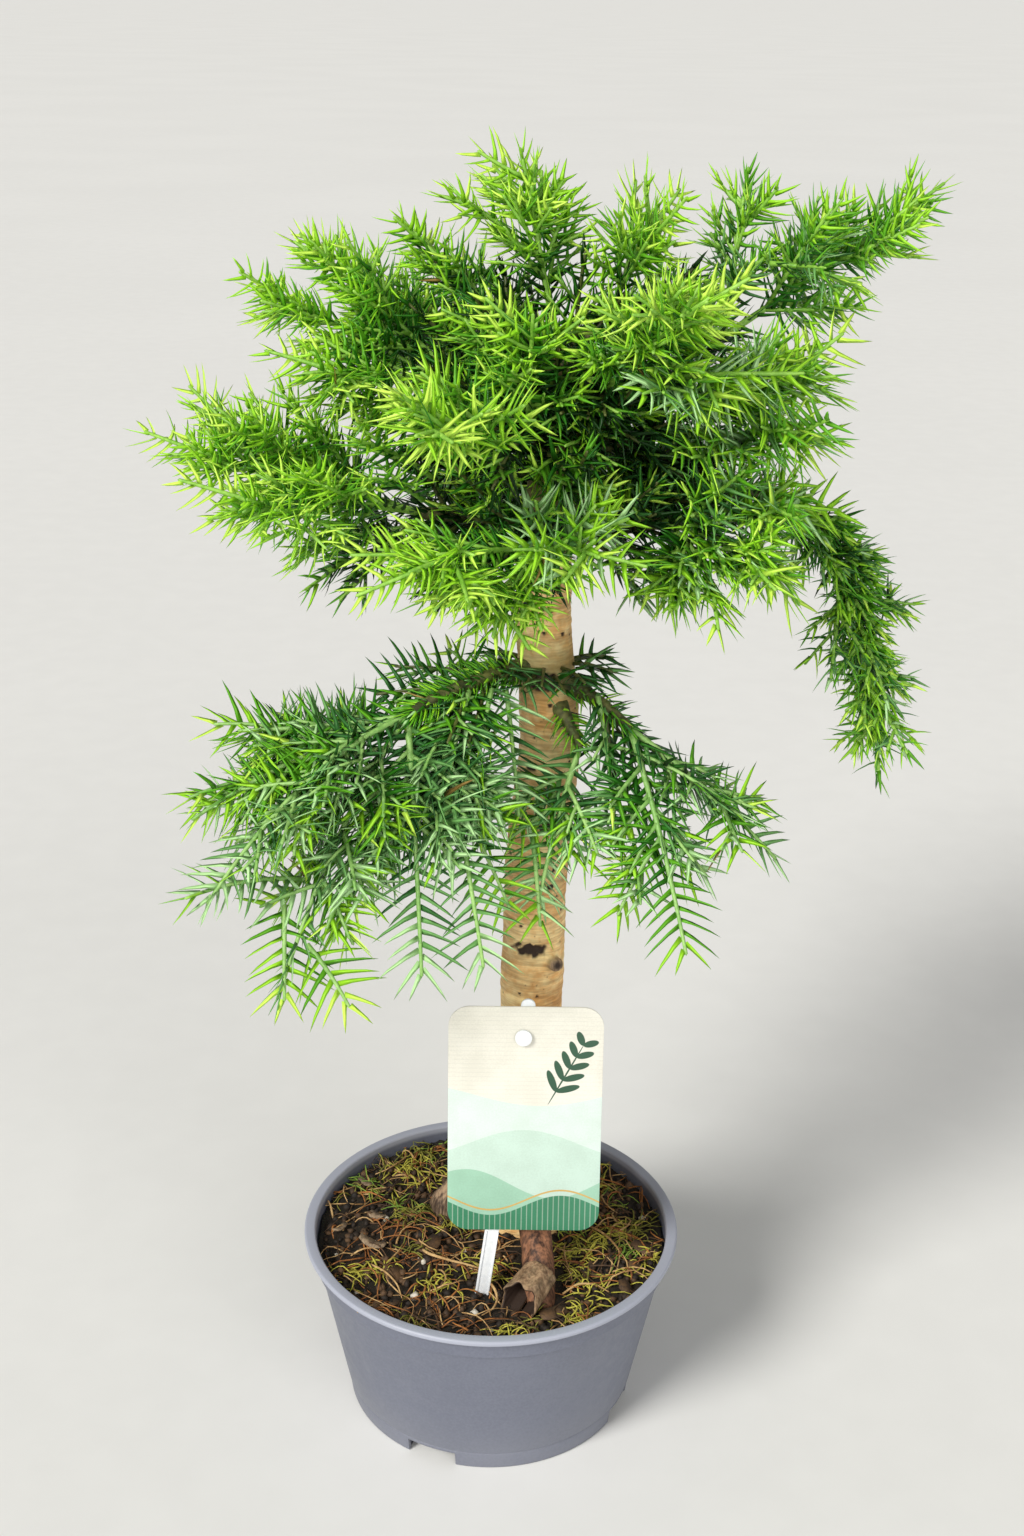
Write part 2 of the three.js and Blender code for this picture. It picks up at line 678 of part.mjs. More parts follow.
function potSolid() {
  const { height, rimRadius, lipWidth, lipDepth, collarRadius, collarDepth, shoulder, wall } = POT;
  const { footRadius, footHeight, footRing, footStep, floor, discRadius, channelHeight } = POT;
  const { draft, chamfer } = POT;
  const collarFoot = height - collarDepth;
  const lipFoot = height - lipDepth;
  const wallTop = collarRadius - draft - shoulder;
  const wallFoot = footRadius + footStep;
  const profile = [
    [0, 0],
    [discRadius, 0],
    [discRadius + 1, channelHeight],
    [footRadius - footRing, channelHeight],
    [footRadius - footRing + draft, 0],
    [footRadius - chamfer, 0],
    [footRadius, chamfer],
    [footRadius + 2 * draft, footHeight - chamfer / 2],
    [footRadius + draft, footHeight],
    [wallFoot, footHeight + chamfer / 2],
    [wallTop, collarFoot - chamfer],
    [collarRadius - draft, collarFoot],
    [collarRadius, lipFoot],
    [rimRadius - chamfer, lipFoot + chamfer / 2],
    [rimRadius, lipFoot + 1.5 * chamfer],
    [rimRadius, height - chamfer],
    [rimRadius - chamfer, height],
    [rimRadius - lipWidth, height],
    [collarRadius - wall, height - chamfer],
    [collarRadius - draft - wall, collarFoot + chamfer],
    [wallTop - wall, collarFoot - chamfer],
    [wallFoot - wall, channelHeight + floor + 1],
    [wallFoot - wall - 1, channelHeight + floor],
    [discRadius - floor + 1, channelHeight + floor],
    [discRadius - floor, floor],
    [0, floor],
  ];
  let pot = solidOf(turned(profile, POT.sides));
  for (let i = 0; i < NOTCH.count; i += 1) {
    const azimuth = radians(NOTCH.azimuth + (360 * i) / NOTCH.count);
    const cutter = new THREE.BoxGeometry(NOTCH.depth, NOTCH.width, 2 * NOTCH.height);
    cutter.translate(footRadius, 0, 0).rotateZ(azimuth);
    pot = pot.subtract(solidOf(cutter));
  }
  return mainBody(pot);
}

function soilSolid() {
  const { collarRadius, collarDepth, height, shoulder, wall, footRadius, floor, discRadius } = POT;
  const { channelHeight, draft, footStep, chamfer } = POT;
  const collarFoot = height - collarDepth;
  const edge = collarRadius - draft - wall - 2 * GAP;
  const wallTop = collarRadius - draft - shoulder - wall - 2 * GAP;
  const wallFoot = footRadius + footStep - wall - 2 * GAP;
  const bed = channelHeight + floor + GAP;
  const profile = [
    [0, floor + GAP],
    [discRadius - floor - 2 * GAP, floor + GAP],
    [discRadius - floor + 1 - 2 * GAP, bed],
    [wallFoot - 1, bed],
    [wallFoot, bed + 1],
    [wallTop, collarFoot - chamfer],
    [edge - chamfer, SOIL.height - SOIL.edgeDrop],
    ...SOIL.rings.map((inward, i) => [edge - inward, SOIL.height - (i ? 0 : SOIL.edgeFall)]),
    [0, SOIL.height],
  ];
  const geometry = turned(profile, SOIL.sides);
  const places = geometry.getAttribute('position');
  for (let i = 0; i < places.count; i += 1) {
    const [x, y, z] = [places.getX(i), places.getY(i), places.getZ(i)];
    const [a, b, c, d] = SOIL.waves;
    const wave = 0.5 + 0.25 * Math.sin(x / a + y / b) + 0.25 * Math.cos(y / c - x / d + 1);
    if (z > SOIL.height - SOIL.reliefDepth) places.setZ(i, z - SOIL.relief * wave);
  }
  return mainBody(solidOf(geometry));
}

function roundedCard() {
  const { width, height, corner, cardX, cardFoot } = LABEL;
  const [left, right, bottom, top] = [cardX - width / 2, cardX + width / 2, cardFoot, cardFoot + height];
  const shape = new THREE.Shape();
  shape.moveTo(left + corner, bottom);
  shape.absarc(right - corner, bottom + corner, corner, -Math.PI / 2, 0);
  shape.absarc(right - corner, top - corner, corner, 0, Math.PI / 2);
  shape.absarc(left + corner, top - corner, corner, Math.PI / 2, Math.PI);
  shape.absarc(left + corner, bottom + corner, corner, Math.PI, 1.5 * Math.PI);
  const hole = new THREE.Path();
  hole.absarc(pegX(), PEG.height, PEG.hole, 0, 2 * Math.PI, true);
  shape.holes.push(hole);
  return shape;
}

function pegX() {
  return (STAKE.topX * PEG.height) / STAKE.length;
}

// Label pieces are drawn upright on the leaning face, with x right, y up the face and z toward the viewer.
function cardSolid() {
  const settings = { depth: LABEL.thickness, bevelEnabled: false, curveSegments: LABEL.cornerSteps };
  return solidOf(new THREE.ExtrudeGeometry(roundedCard(), settings));
}

function stakeSolid() {
  const half = STAKE.width / 2;
  const lean = Math.atan2(STAKE.topX, STAKE.length);
  const length = Math.hypot(STAKE.topX, STAKE.length);
  const blade = new THREE.Shape();
  blade.moveTo(-half, 0);
  blade.lineTo(half, 0);
  blade.absarc(0, length - half, half, 0, Math.PI);
  const settings = { depth: STAKE.thickness, bevelEnabled: false, curveSegments: STAKE.endSteps };
  const strip = new THREE.ExtrudeGeometry(blade, settings);
  strip.translate(0, 0, -STAKE.thickness - GAP);
  const rib = new THREE.BoxGeometry(STAKE.rib, length - 2 * STAKE.ribEnd, STAKE.ribDepth + STAKE.lap);
  rib.translate(0, length / 2, -STAKE.thickness - GAP - STAKE.ribDepth / 2 + STAKE.lap / 2);
  const front = LABEL.thickness + GAP;
  const pegProfile = [
    [0, -GAP - PEG.lap],
    [PEG.radius, -GAP - PEG.lap],
    [PEG.radius, front],
    [PEG.head, front],
    [PEG.head, front + 0.5 * PEG.headDepth],
    [PEG.headTop, front + PEG.headDepth],
    [0, front + PEG.headDepth],
  ];
  const peg = turned(pegProfile, PEG.sides).translate(pegX(), PEG.height, 0);
  const leaning = wasm.Manifold.union([solidOf(strip.rotateZ(-lean)), solidOf(rib.rotateZ(-lean))]);
  const above = new THREE.BoxGeometry(length, 2 * length, length).translate(0, length, 0);
  return mainBody(leaning.intersect(solidOf(above)).add(solidOf(peg)));
}

// Assembly

function addMesh(group, name, solid, finish) {
  const mesh = new THREE.Mesh(geometryOf(solid), new THREE.MeshStandardMaterial({ ...finish, metalness: 0 }));
  mesh.name = name;
  group.add(mesh);
}

const plant = new THREE.Group();
plant.name = 'hoop_pine_bonsai';

addMesh(plant, 'pot', potSolid(), FINISH.pot);
addMesh(plant, 'soil', soilSolid(), FINISH.soil);
addMesh(plant, 'trunk', trunkSolid(), FINISH.bark);

const trunkRoom = solidOf(trunkGeometry(GAP));
for (const bough of boughs) {
  const limb = solidOf(limbGeometry(bough.curve, bough.radius, bough.tipRadius, LIMB.sides, LIMB.rings));
  addMesh(plant, `bough_${bough.name}`, mainBody(limb.subtract(trunkRoom)), FINISH.limb);
}
for (const spray of sprays) {
  addMesh(plant, `spray_${spray.name}`, spraySolid(spray), FINISH.foliage);
}

const label = new THREE.Group();
label.name = 'label';
label.position.set(LABEL.footX, LABEL.footY, SOIL.height + GAP);
label.rotation.x = Math.PI / 2 - radians(LABEL.leanBack);
addMesh(label, 'label_card', cardSolid(), FINISH.card);
addMesh(label, 'label_stake', stakeSolid(), FINISH.stake);
plant.add(label);

export default plant;
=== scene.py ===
import math

import bpy
import numpy as np
from mathutils import Matrix, Vector, noise


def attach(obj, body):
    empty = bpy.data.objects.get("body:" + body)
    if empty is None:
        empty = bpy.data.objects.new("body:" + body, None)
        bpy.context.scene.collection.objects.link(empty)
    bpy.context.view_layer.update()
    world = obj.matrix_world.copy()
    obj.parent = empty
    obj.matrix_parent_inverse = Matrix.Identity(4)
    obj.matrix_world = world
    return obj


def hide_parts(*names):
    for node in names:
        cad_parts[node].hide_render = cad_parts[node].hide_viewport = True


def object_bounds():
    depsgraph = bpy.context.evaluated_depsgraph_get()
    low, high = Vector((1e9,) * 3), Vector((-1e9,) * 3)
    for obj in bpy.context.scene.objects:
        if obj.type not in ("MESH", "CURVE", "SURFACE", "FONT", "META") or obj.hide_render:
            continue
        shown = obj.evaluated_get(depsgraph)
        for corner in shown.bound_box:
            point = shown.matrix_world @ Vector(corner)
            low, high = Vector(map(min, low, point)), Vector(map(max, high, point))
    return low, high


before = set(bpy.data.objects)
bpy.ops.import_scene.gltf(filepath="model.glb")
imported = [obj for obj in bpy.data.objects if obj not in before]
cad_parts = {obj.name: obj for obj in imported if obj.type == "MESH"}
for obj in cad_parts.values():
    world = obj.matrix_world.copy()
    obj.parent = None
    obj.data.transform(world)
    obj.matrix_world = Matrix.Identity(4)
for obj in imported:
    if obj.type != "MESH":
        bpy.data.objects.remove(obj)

# hoop pine bonsai in a grey nursery pot; sizes below are millimetres unless a note says metres
mm = 0.001
upward = np.array((0.0, 0.0, 1.0))
goldenAngle = math.radians(137.508)
roundTurn = 6.28         # near enough a full turn for a random start
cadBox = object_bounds()
bpy.ops.object.select_all(action="DESELECT")
print("frame loaded,", len(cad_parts), "nodes")


# small helpers for modelling

def pickOnly(obj):
    bpy.ops.object.select_all(action="DESELECT")
    obj.select_set(True)
    bpy.context.view_layer.objects.active = obj


def applyModifiers(obj):
    pickOnly(obj)
    for modifier in list(obj.modifiers):
        bpy.ops.object.modifier_apply(modifier=modifier.name)


def joinAll(objects, name):
    pickOnly(objects[0])
    for obj in objects:
        obj.select_set(True)
    bpy.ops.object.join()
    objects[0].name = name
    objects[0].data.name = name
    return objects[0]


def selectVerts(obj, test):
    # picks vertices by their place, in edit mode
    bpy.ops.mesh.select_all(action="DESELECT")
    bpy.ops.object.mode_set(mode="OBJECT")
    for vertex in obj.data.vertices:
        vertex.select = test(vertex.co)
    for edge in obj.data.edges:
        edge.select = all(obj.data.vertices[i].select for i in edge.vertices)
    for face in obj.data.polygons:
        face.select = all(obj.data.vertices[i].select for i in face.vertices)
    bpy.ops.object.mode_set(mode="EDIT")


def softenEdges(obj, width, smoothUnder=35):
    bevel = obj.modifiers.new("softEdges", "BEVEL")
    bevel.width = width * mm
    bevel.segments = 2
    bevel.limit_method = "ANGLE"
    bevel.angle_limit = math.radians(30)
    applyModifiers(obj)
    bpy.ops.object.shade_smooth_by_angle(angle=math.radians(smoothUnder))


def settle(piece, nodes, materials, tints=None):
    # every finished piece sits at the origin and rides with the pot; tints pick each face's material
    pickOnly(piece)
    bpy.ops.object.transform_apply(location=True, rotation=True, scale=True)
    piece.data.materials.clear()
    for material in materials:
        piece.data.materials.append(material)
    if tints is not None:
        piece.data.polygons.foreach_set("material_index", tints.astype(np.int32))
    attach(piece, "root")
    if nodes:
        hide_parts(*nodes)


def meshFromArrays(name, places, faces):
    # places in millimetres, faces as rows of three
    mesh = bpy.data.meshes.new(name)
    mesh.vertices.add(len(places))
    mesh.vertices.foreach_set("co", (np.asarray(places) * mm).astype(np.float32).ravel())
    mesh.loops.add(3 * len(faces))
    mesh.loops.foreach_set("vertex_index", np.asarray(faces, dtype=np.int32).ravel())
    mesh.polygons.add(len(faces))
    mesh.polygons.foreach_set("loop_start", np.arange(0, 3 * len(faces), 3, dtype=np.int32))
    mesh.update(calc_edges=True)
    obj = bpy.data.objects.new(name, mesh)
    bpy.context.collection.objects.link(obj)
    return obj


def unit(v):
    return v / np.maximum(np.linalg.norm(v, axis=-1, keepdims=True), 1e-9)


# small helpers for materials

def paint(red, green, blue):
    # a colour as seen on screen, 0 to 255, as the shader wants it
    def toLinear(c):
        c = c / 255
        return c / 12.92 if c <= 0.04045 else ((c + 0.055) / 1.055) ** 2.4
    return (toLinear(red), toLinear(green), toLinear(blue), 1.0)


def newMaterial(name):
    material = bpy.data.materials.new(name)
    material.use_nodes = True
    return material, material.node_tree, material.node_tree.nodes["Principled BSDF"]


def put(tree, socket, value):
    if isinstance(value, bpy.types.NodeSocket):
        tree.links.new(value, socket)
    else:
        socket.default_value = value


def mixColours(tree, factor, first, second, blend="MIX"):
    node = tree.nodes.new("ShaderNodeMix")
    node.data_type = "RGBA"
    node.blend_type = blend
    put(tree, node.inputs[0], factor)
    put(tree, node.inputs[6], first)
    put(tree, node.inputs[7], second)
    return node.outputs[2]


def math2(tree, operation, first, second=0.0):
    node = tree.nodes.new("ShaderNodeMath")
    node.operation = operation
    put(tree, node.inputs[0], first)
    put(tree, node.inputs[1], second)
    return node.outputs[0]


def spread(tree, value, low, high, toLow=0.0, toHigh=1.0):
    node = tree.nodes.new("ShaderNodeMapRange")
    node.interpolation_type = "SMOOTHSTEP"
    put(tree, node.inputs[0], value)
    for i, number in enumerate((low, high, toLow, toHigh)):
        node.inputs[i + 1].default_value = number
    return node.outputs[0]


def objectPlace(tree, scale=(1, 1, 1)):
    where = tree.nodes.new("ShaderNodeTexCoord")
    mapping = tree.nodes.new("ShaderNodeMapping")
    mapping.inputs["Scale"].default_value = scale
    tree.links.new(where.outputs["Object"], mapping.inputs["Vector"])
    return mapping.outputs[0]


def addGroup(tree, group, **values):
    node = tree.nodes.new("ShaderNodeGroup")
    node.node_tree = group
    for name, value in values.items():
        put(tree, node.inputs[name], value)
    return node.outputs


def bumpTo(tree, shader, height, strength, distance):
    bump = tree.nodes.new("ShaderNodeBump")
    bump.inputs["Strength"].default_value = strength
    bump.inputs["Distance"].default_value = distance
    tree.links.new(height, bump.inputs["Height"])
    tree.links.new(bump.outputs[0], shader.inputs["Normal"])


def groupTree(name, inputs, outputs):
    tree = bpy.data.node_groups.new(name, "ShaderNodeTree")
    for socketName, kind in inputs:
        tree.interface.new_socket(name=socketName, in_out="INPUT", socket_type=kind)
    for socketName, kind in outputs:
        tree.interface.new_socket(name=socketName, in_out="OUTPUT", socket_type=kind)
    return tree, tree.nodes.new("NodeGroupInput").outputs, tree.nodes.new("NodeGroupOutput").inputs


# how the two sizes of blotches weigh, how finely each is broken up, and where dark turns to light
blotch = dict(broadShare=0.55, broadDetail=3.0, fineShare=0.45, fineDetail=5.0,
              darkUnder=0.36, lightOver=0.64)
speckEdge = 0.12
black, white = (0, 0, 0), (255, 255, 255)


def makeMottle():
    # broad and fine blotches between two colours, with the same blotches as a height
    tree, given, out = groupTree(
        "mottle",
        [("Place", "NodeSocketVector"), ("Broad", "NodeSocketFloat"), ("Fine", "NodeSocketFloat"),
         ("Dark", "NodeSocketColor"), ("Light", "NodeSocketColor")],
        [("Colour", "NodeSocketColor"), ("Height", "NodeSocketFloat")],
    )
    heights = []
    for scale, kind in (("Broad", "broad"), ("Fine", "fine")):
        texture = tree.nodes.new("ShaderNodeTexNoise")
        texture.inputs["Detail"].default_value = blotch[kind + "Detail"]
        tree.links.new(given["Place"], texture.inputs["Vector"])
        tree.links.new(given[scale], texture.inputs["Scale"])
        heights.append(math2(tree, "MULTIPLY", texture.outputs[0], blotch[kind + "Share"]))
    both = math2(tree, "ADD", *heights)
    mask = spread(tree, both, blotch["darkUnder"], blotch["lightOver"])
    tree.links.new(mixColours(tree, mask, given["Dark"], given["Light"]), out["Colour"])
    tree.links.new(both, out["Height"])
    return tree


def makeSpecks():
    # scattered small specks, 1 on a speck and 0 elsewhere
    tree, given, out = groupTree(
        "specks",
        [("Place", "NodeSocketVector"), ("Scale", "NodeSocketFloat"), ("Size", "NodeSocketFloat")],
        [("Mask", "NodeSocketFloat")],
    )
    cells = tree.nodes.new("ShaderNodeTexVoronoi")
    tree.links.new(given["Place"], cells.inputs["Vector"])
    tree.links.new(given["Scale"], cells.inputs["Scale"])
    nearness = math2(tree, "SUBTRACT", given["Size"], cells.outputs["Distance"])
    tree.links.new(spread(tree, nearness, 0.0, speckEdge), out["Mask"])
    return tree


mottle = makeMottle()
specks = makeSpecks()


def blotches(tree, where, broad, fine, dark, light):
    # the mottle by the scales of its blotches and two colours as seen on screen
    return addGroup(tree, mottle, Place=where, Broad=broad, Fine=fine, Dark=paint(*dark), Light=paint(*light))


def layOver(tree, colour, over, mask, share):
    # a colour as seen on screen over another, by a share of a mask
    return mixColours(tree, math2(tree, "MULTIPLY", mask, share), colour, paint(*over))


def finishWith(tree, shader, colour, height, look):
    tree.links.new(colour, shader.inputs["Base Color"])
    shader.inputs["Roughness"].default_value = look["rough"]
    bumpTo(tree, shader, height, look["bump"], look["bumpHeight"])


def mottledMaterial(name, broad, fine, dark, light, rough):
    # a simple finish of two close tones
    material, tree, shader = newMaterial(name)
    tones = blotches(tree, objectPlace(tree), broad, fine, dark, light)
    tree.links.new(tones["Colour"], shader.inputs["Base Color"])
    shader.inputs["Roughness"].default_value = rough
    return material


# camera, floor and light

view = dict(
    place=(0.0, -0.6402, 0.5363),   # metres
    pitch=22.38,                    # degrees down
    yaw=0.50,                       # degrees to the right
    roll=0.89,                      # degrees, right side low
    lens=44.53,
)
studio = dict(
    floorSize=900.0,                 # metres
    floorTones=(1.5, 40.0, (228, 228, 226), (231, 231, 229)), floorRough=0.8,
    suns=[
        dict(name="keyLight", azimuth=226, height=36, angle=22, strength=3.2, colour=(1.0, 0.98, 0.93)),
        dict(name="fillLight", azimuth=296, height=22, angle=50, strength=1.25, colour=(1.0, 0.99, 0.97)),
    ],
    sky=0.26, backdrop=(238, 237, 231),
)


def setCamera():
    pitch, yaw, roll = (math.radians(view[k]) for k in ("pitch", "yaw", "roll"))
    ahead = Vector((math.sin(yaw), math.cos(yaw), 0))
    right = Vector((math.cos(yaw), -math.sin(yaw), 0))
    forward = ahead * math.cos(pitch) - Vector((0, 0, math.sin(pitch)))
    above = ahead * math.sin(pitch) + Vector((0, 0, math.cos(pitch)))
    axisX = right * math.cos(roll) + above * math.sin(roll)
    axisY = above * math.cos(roll) - right * math.sin(roll)
    bpy.ops.object.camera_add(location=view["place"])
    camera = bpy.context.object
    camera.rotation_euler = Matrix((axisX, axisY, -forward)).transposed().to_euler()
    camera.data.lens = view["lens"]
    bpy.context.scene.camera = camera


def setStudio():
    bpy.ops.mesh.primitive_plane_add(size=studio["floorSize"])
    floor = bpy.context.object
    floor.name = "floor"
    floor.data.materials.append(mottledMaterial("paleFloor", *studio["floorTones"], studio["floorRough"]))
    for lamp in studio["suns"]:
        bpy.ops.object.light_add(type="SUN", location=(0, 0, 2))
        light = bpy.context.object
        light.name = lamp["name"]
        light.data.energy = lamp["strength"]
        light.data.color = lamp["colour"]
        light.data.angle = math.radians(lamp["angle"])
        turn, rise = math.radians(lamp["azimuth"]), math.radians(lamp["height"])
        toward = Vector((math.cos(turn) * math.cos(rise), math.sin(turn) * math.cos(rise), math.sin(rise)))
        light.rotation_euler = toward.to_track_quat("Z", "Y").to_euler()
    world = bpy.data.worlds.new("studioSky")
    world.use_nodes = True
    nodes, links = world.node_tree.nodes, world.node_tree.links
    glow = nodes["Background"]
    glow.inputs["Color"].default_value = (1.0, 1.0, 1.0, 1.0)
    glow.inputs["Strength"].default_value = studio["sky"]
    backdrop = nodes.new("ShaderNodeBackground")    # what is seen past the floor's edge, as pale as the floor
    backdrop.inputs["Color"].default_value = paint(*studio["backdrop"])
    rays = nodes.new("ShaderNodeLightPath")
    both = nodes.new("ShaderNodeMixShader")
    links.new(rays.outputs["Is Camera Ray"], both.inputs[0])
    links.new(glow.outputs[0], both.inputs[1])
    links.new(backdrop.outputs[0], both.inputs[2])
    links.new(both.outputs[0], nodes["World Output"].inputs["Surface"])
    bpy.context.scene.world = world
    bpy.context.scene.view_settings.view_transform = "Standard"


setCamera()
setStudio()
print("camera, floor and light set")


# pot: turned wall with a lip, collar, foot ring and water notches

pot = dict(
    height=75, rimRadius=75, lipWidth=4, lipDepth=2.6, collarRadius=72, collarDepth=10, shoulder=1.6,
    footRadius=57.4, footHeight=8, footRing=2.6, wall=1.5, floor=2, discRadius=42, channelHeight=7.5,
    sides=128, edgeRound=0.35, smoothUnder=32,
    notches=4, notchAzimuth=247, notchWidth=20, notchHeight=6.4, notchDepth=9,
)


def potRings():
    # radius and height of each ring, from the underside's disc round to the inner floor;
    # the steps under 2 mm are the moulding's own drafts and rounded corners
    p = pot
    collarFoot = p["height"] - p["collarDepth"]
    wallTop = p["collarRadius"] - 0.5 - p["shoulder"]
    wallFoot = p["footRadius"] + 1.3
    inFoot = p["footRadius"] - p["footRing"]
    return [
        (p["discRadius"], 0),
        (p["discRadius"] + 1, p["channelHeight"]),
        (inFoot, p["channelHeight"]),
        (inFoot + 0.5, 0),
        (p["footRadius"] - 0.5, 0),
        (p["footRadius"], 0.6),
        (p["footRadius"] + 0.9, p["footHeight"] - 0.3),
        (p["footRadius"] + 0.5, p["footHeight"]),
        (wallFoot, p["footHeight"] + 0.4),
        (wallTop, collarFoot - 0.8),
        (p["collarRadius"] - 0.5, collarFoot),
        (p["collarRadius"], p["height"] - p["lipDepth"]),
        (p["rimRadius"] - 0.4, p["height"] - p["lipDepth"] + 0.3),
        (p["rimRadius"], p["height"] - p["lipDepth"] + 0.9),
        (p["rimRadius"], p["height"] - 0.6),
        (p["rimRadius"] - 0.6, p["height"]),
        (p["rimRadius"] - p["lipWidth"], p["height"]),
        (p["collarRadius"] - p["wall"], p["height"] - 0.7),
        (p["collarRadius"] - 0.5 - p["wall"], collarFoot + 0.8),
        (wallTop - p["wall"], collarFoot - 0.6),
        (wallFoot - p["wall"], p["channelHeight"] + p["floor"] + 1),
        (wallFoot - p["wall"] - 1, p["channelHeight"] + p["floor"]),
        (p["discRadius"] - p["floor"] + 1, p["channelHeight"] + p["floor"]),
        (p["discRadius"] - p["floor"], p["floor"]),
    ]


def makePot():
    rings = potRings()
    radius, height = rings[0]
    bpy.ops.mesh.primitive_circle_add(vertices=pot["sides"], radius=radius * mm, fill_type="NGON")
    body = bpy.context.object
    body.name = "potWall"
    bpy.ops.object.mode_set(mode="EDIT")
    bpy.ops.mesh.select_all(action="DESELECT")
    bpy.ops.mesh.select_mode(type="EDGE")
    bpy.ops.mesh.select_all(action="SELECT")
    for nextRadius, nextHeight in rings[1:]:  # the open edge is drawn out ring by ring
        rise = (0, 0, (nextHeight - height) * mm)
        bpy.ops.mesh.extrude_edges_move(TRANSFORM_OT_translate={"value": rise})
        grow = nextRadius / radius
        bpy.ops.transform.resize(value=(grow, grow, 1), center_override=(0, 0, nextHeight * mm))
        radius, height = nextRadius, nextHeight
    bpy.ops.mesh.edge_face_add()
    bpy.ops.mesh.select_all(action="SELECT")
    bpy.ops.mesh.normals_make_consistent(inside=False)
    bpy.ops.mesh.select_mode(type="VERT")
    bpy.ops.object.mode_set(mode="OBJECT")
    for i in range(pot["notches"]):
        turn = math.radians(pot["notchAzimuth"] + 360 * i / pot["notches"])
        out = pot["footRadius"] * mm
        bpy.ops.mesh.primitive_cube_add(size=1, location=(out * math.cos(turn), out * math.sin(turn), 0))
        cutter = bpy.context.object
        cutter.rotation_euler.z = turn
        cutter.scale = (pot["notchDepth"] * mm, pot["notchWidth"] * mm, 2 * pot["notchHeight"] * mm)
        cut = body.modifiers.new("notch", "BOOLEAN")
        cut.operation = "DIFFERENCE"
        cut.object = cutter
        applyModifiers(body)
        bpy.data.objects.remove(cutter)
    softenEdges(body, pot["edgeRound"], pot["smoothUnder"])
    return body


# tones are the broad and fine scale of blotches, then a dark and a light colour; heights in metres
plastic = dict(
    tones=(14.0, 900.0, (102, 106, 121), (112, 116, 131)), bump=0.05, bumpHeight=0.0006,
    dustTones=(30.0, 220.0, black, white), dust=(146, 146, 148), dustShare=0.35, dustTop=0.030,
    # a painted highlight: the lip is lighter between the two heights given here
    rimHighlight=(172, 176, 190), rimHighlightShare=0.8, rimHighlightFrom=0.0715, rimHighlightTo=0.0735,
    rough=(0.3, 0.7, 0.40, 0.54),
)


def potPlastic():
    material, tree, shader = newMaterial("greyPlastic")
    p = plastic
    where = objectPlace(tree)
    tones = blotches(tree, where, *p["tones"])
    dust = blotches(tree, where, *p["dustTones"])
    axes = tree.nodes.new("ShaderNodeSeparateXYZ")
    tree.links.new(where, axes.inputs[0])
    height = axes.outputs[2]
    lowDust = math2(tree, "MULTIPLY", spread(tree, height, p["dustTop"], 0.0), dust["Height"])
    dusted = layOver(tree, tones["Colour"], p["dust"], lowDust, p["dustShare"])
    # painted highlight: the top band of the lip is made lighter
    onRimHighlight = spread(tree, height, p["rimHighlightFrom"], p["rimHighlightTo"])
    tree.links.new(layOver(tree, dusted, p["rimHighlight"], onRimHighlight, p["rimHighlightShare"]), shader.inputs["Base Color"])
    tree.links.new(spread(tree, dust["Height"], *p["rough"]), shader.inputs["Roughness"])
    bumpTo(tree, shader, tones["Height"], p["bump"], p["bumpHeight"])
    return material


potWall = makePot()
settle(potWall, ["pot"], [potPlastic()])
print("pot turned,", len(potWall.data.polygons), "faces")


# the rule that the plant grows by

trunk = dict(
    x=13.5, y=16, soil=67, lean=0.012, bow=3.6, bowHeight=277, bowSpan=28,
    footRadius=12.4, tipRadius=3.8, tipHeight=428, taperPower=4, flare=4.5, flareHeight=40,
)
roots = [
    dict(name="front", azimuth=276, reach=59, height=106, radius=7.2, tipRadius=5.8),
    dict(name="left", azimuth=173, reach=32, height=98, radius=11.5, tipRadius=9),
    dict(name="back", azimuth=112, reach=30, height=98, radius=9.5, tipRadius=7.5),
    dict(name="right", azimuth=22, reach=27, height=96, radius=9.5, tipRadius=7),
]
rootBend = dict(at=0.55, drop=9, sink=3)    # where a root turns down, and how far its end is under the soil


def spray(name, azimuth, reach, tipHeight, arch, shoots, length, roll, tint, cool=0.0, start=None, belly=0.0,
          spread=84, bushy=1.0, needle=10.6, first=0.12, last=0.86, taper=0.6, ranked=True, dense=1.0):
    return dict(name=name, azimuth=azimuth, reach=reach, tipHeight=tipHeight, arch=arch, shoots=shoots,
                length=length, roll=roll, tint=tint, cool=cool, start=start, belly=belly, spread=spread,
                bushy=bushy, needle=needle, first=first, last=last, taper=taper, ranked=ranked, dense=dense)


def bough(name, height, azimuth, reach, tipHeight, arch, radius, tipRadius, *sprays, shootsTo=1.0):
    return dict(name=name, height=height, azimuth=azimuth, reach=reach, tipHeight=tipHeight, arch=arch,
                radius=radius, tipRadius=tipRadius, sprays=sprays, shootsTo=shootsTo)


def isLow(s):
    # the open sprays of the lower whorl
    return s["bushy"] < 1


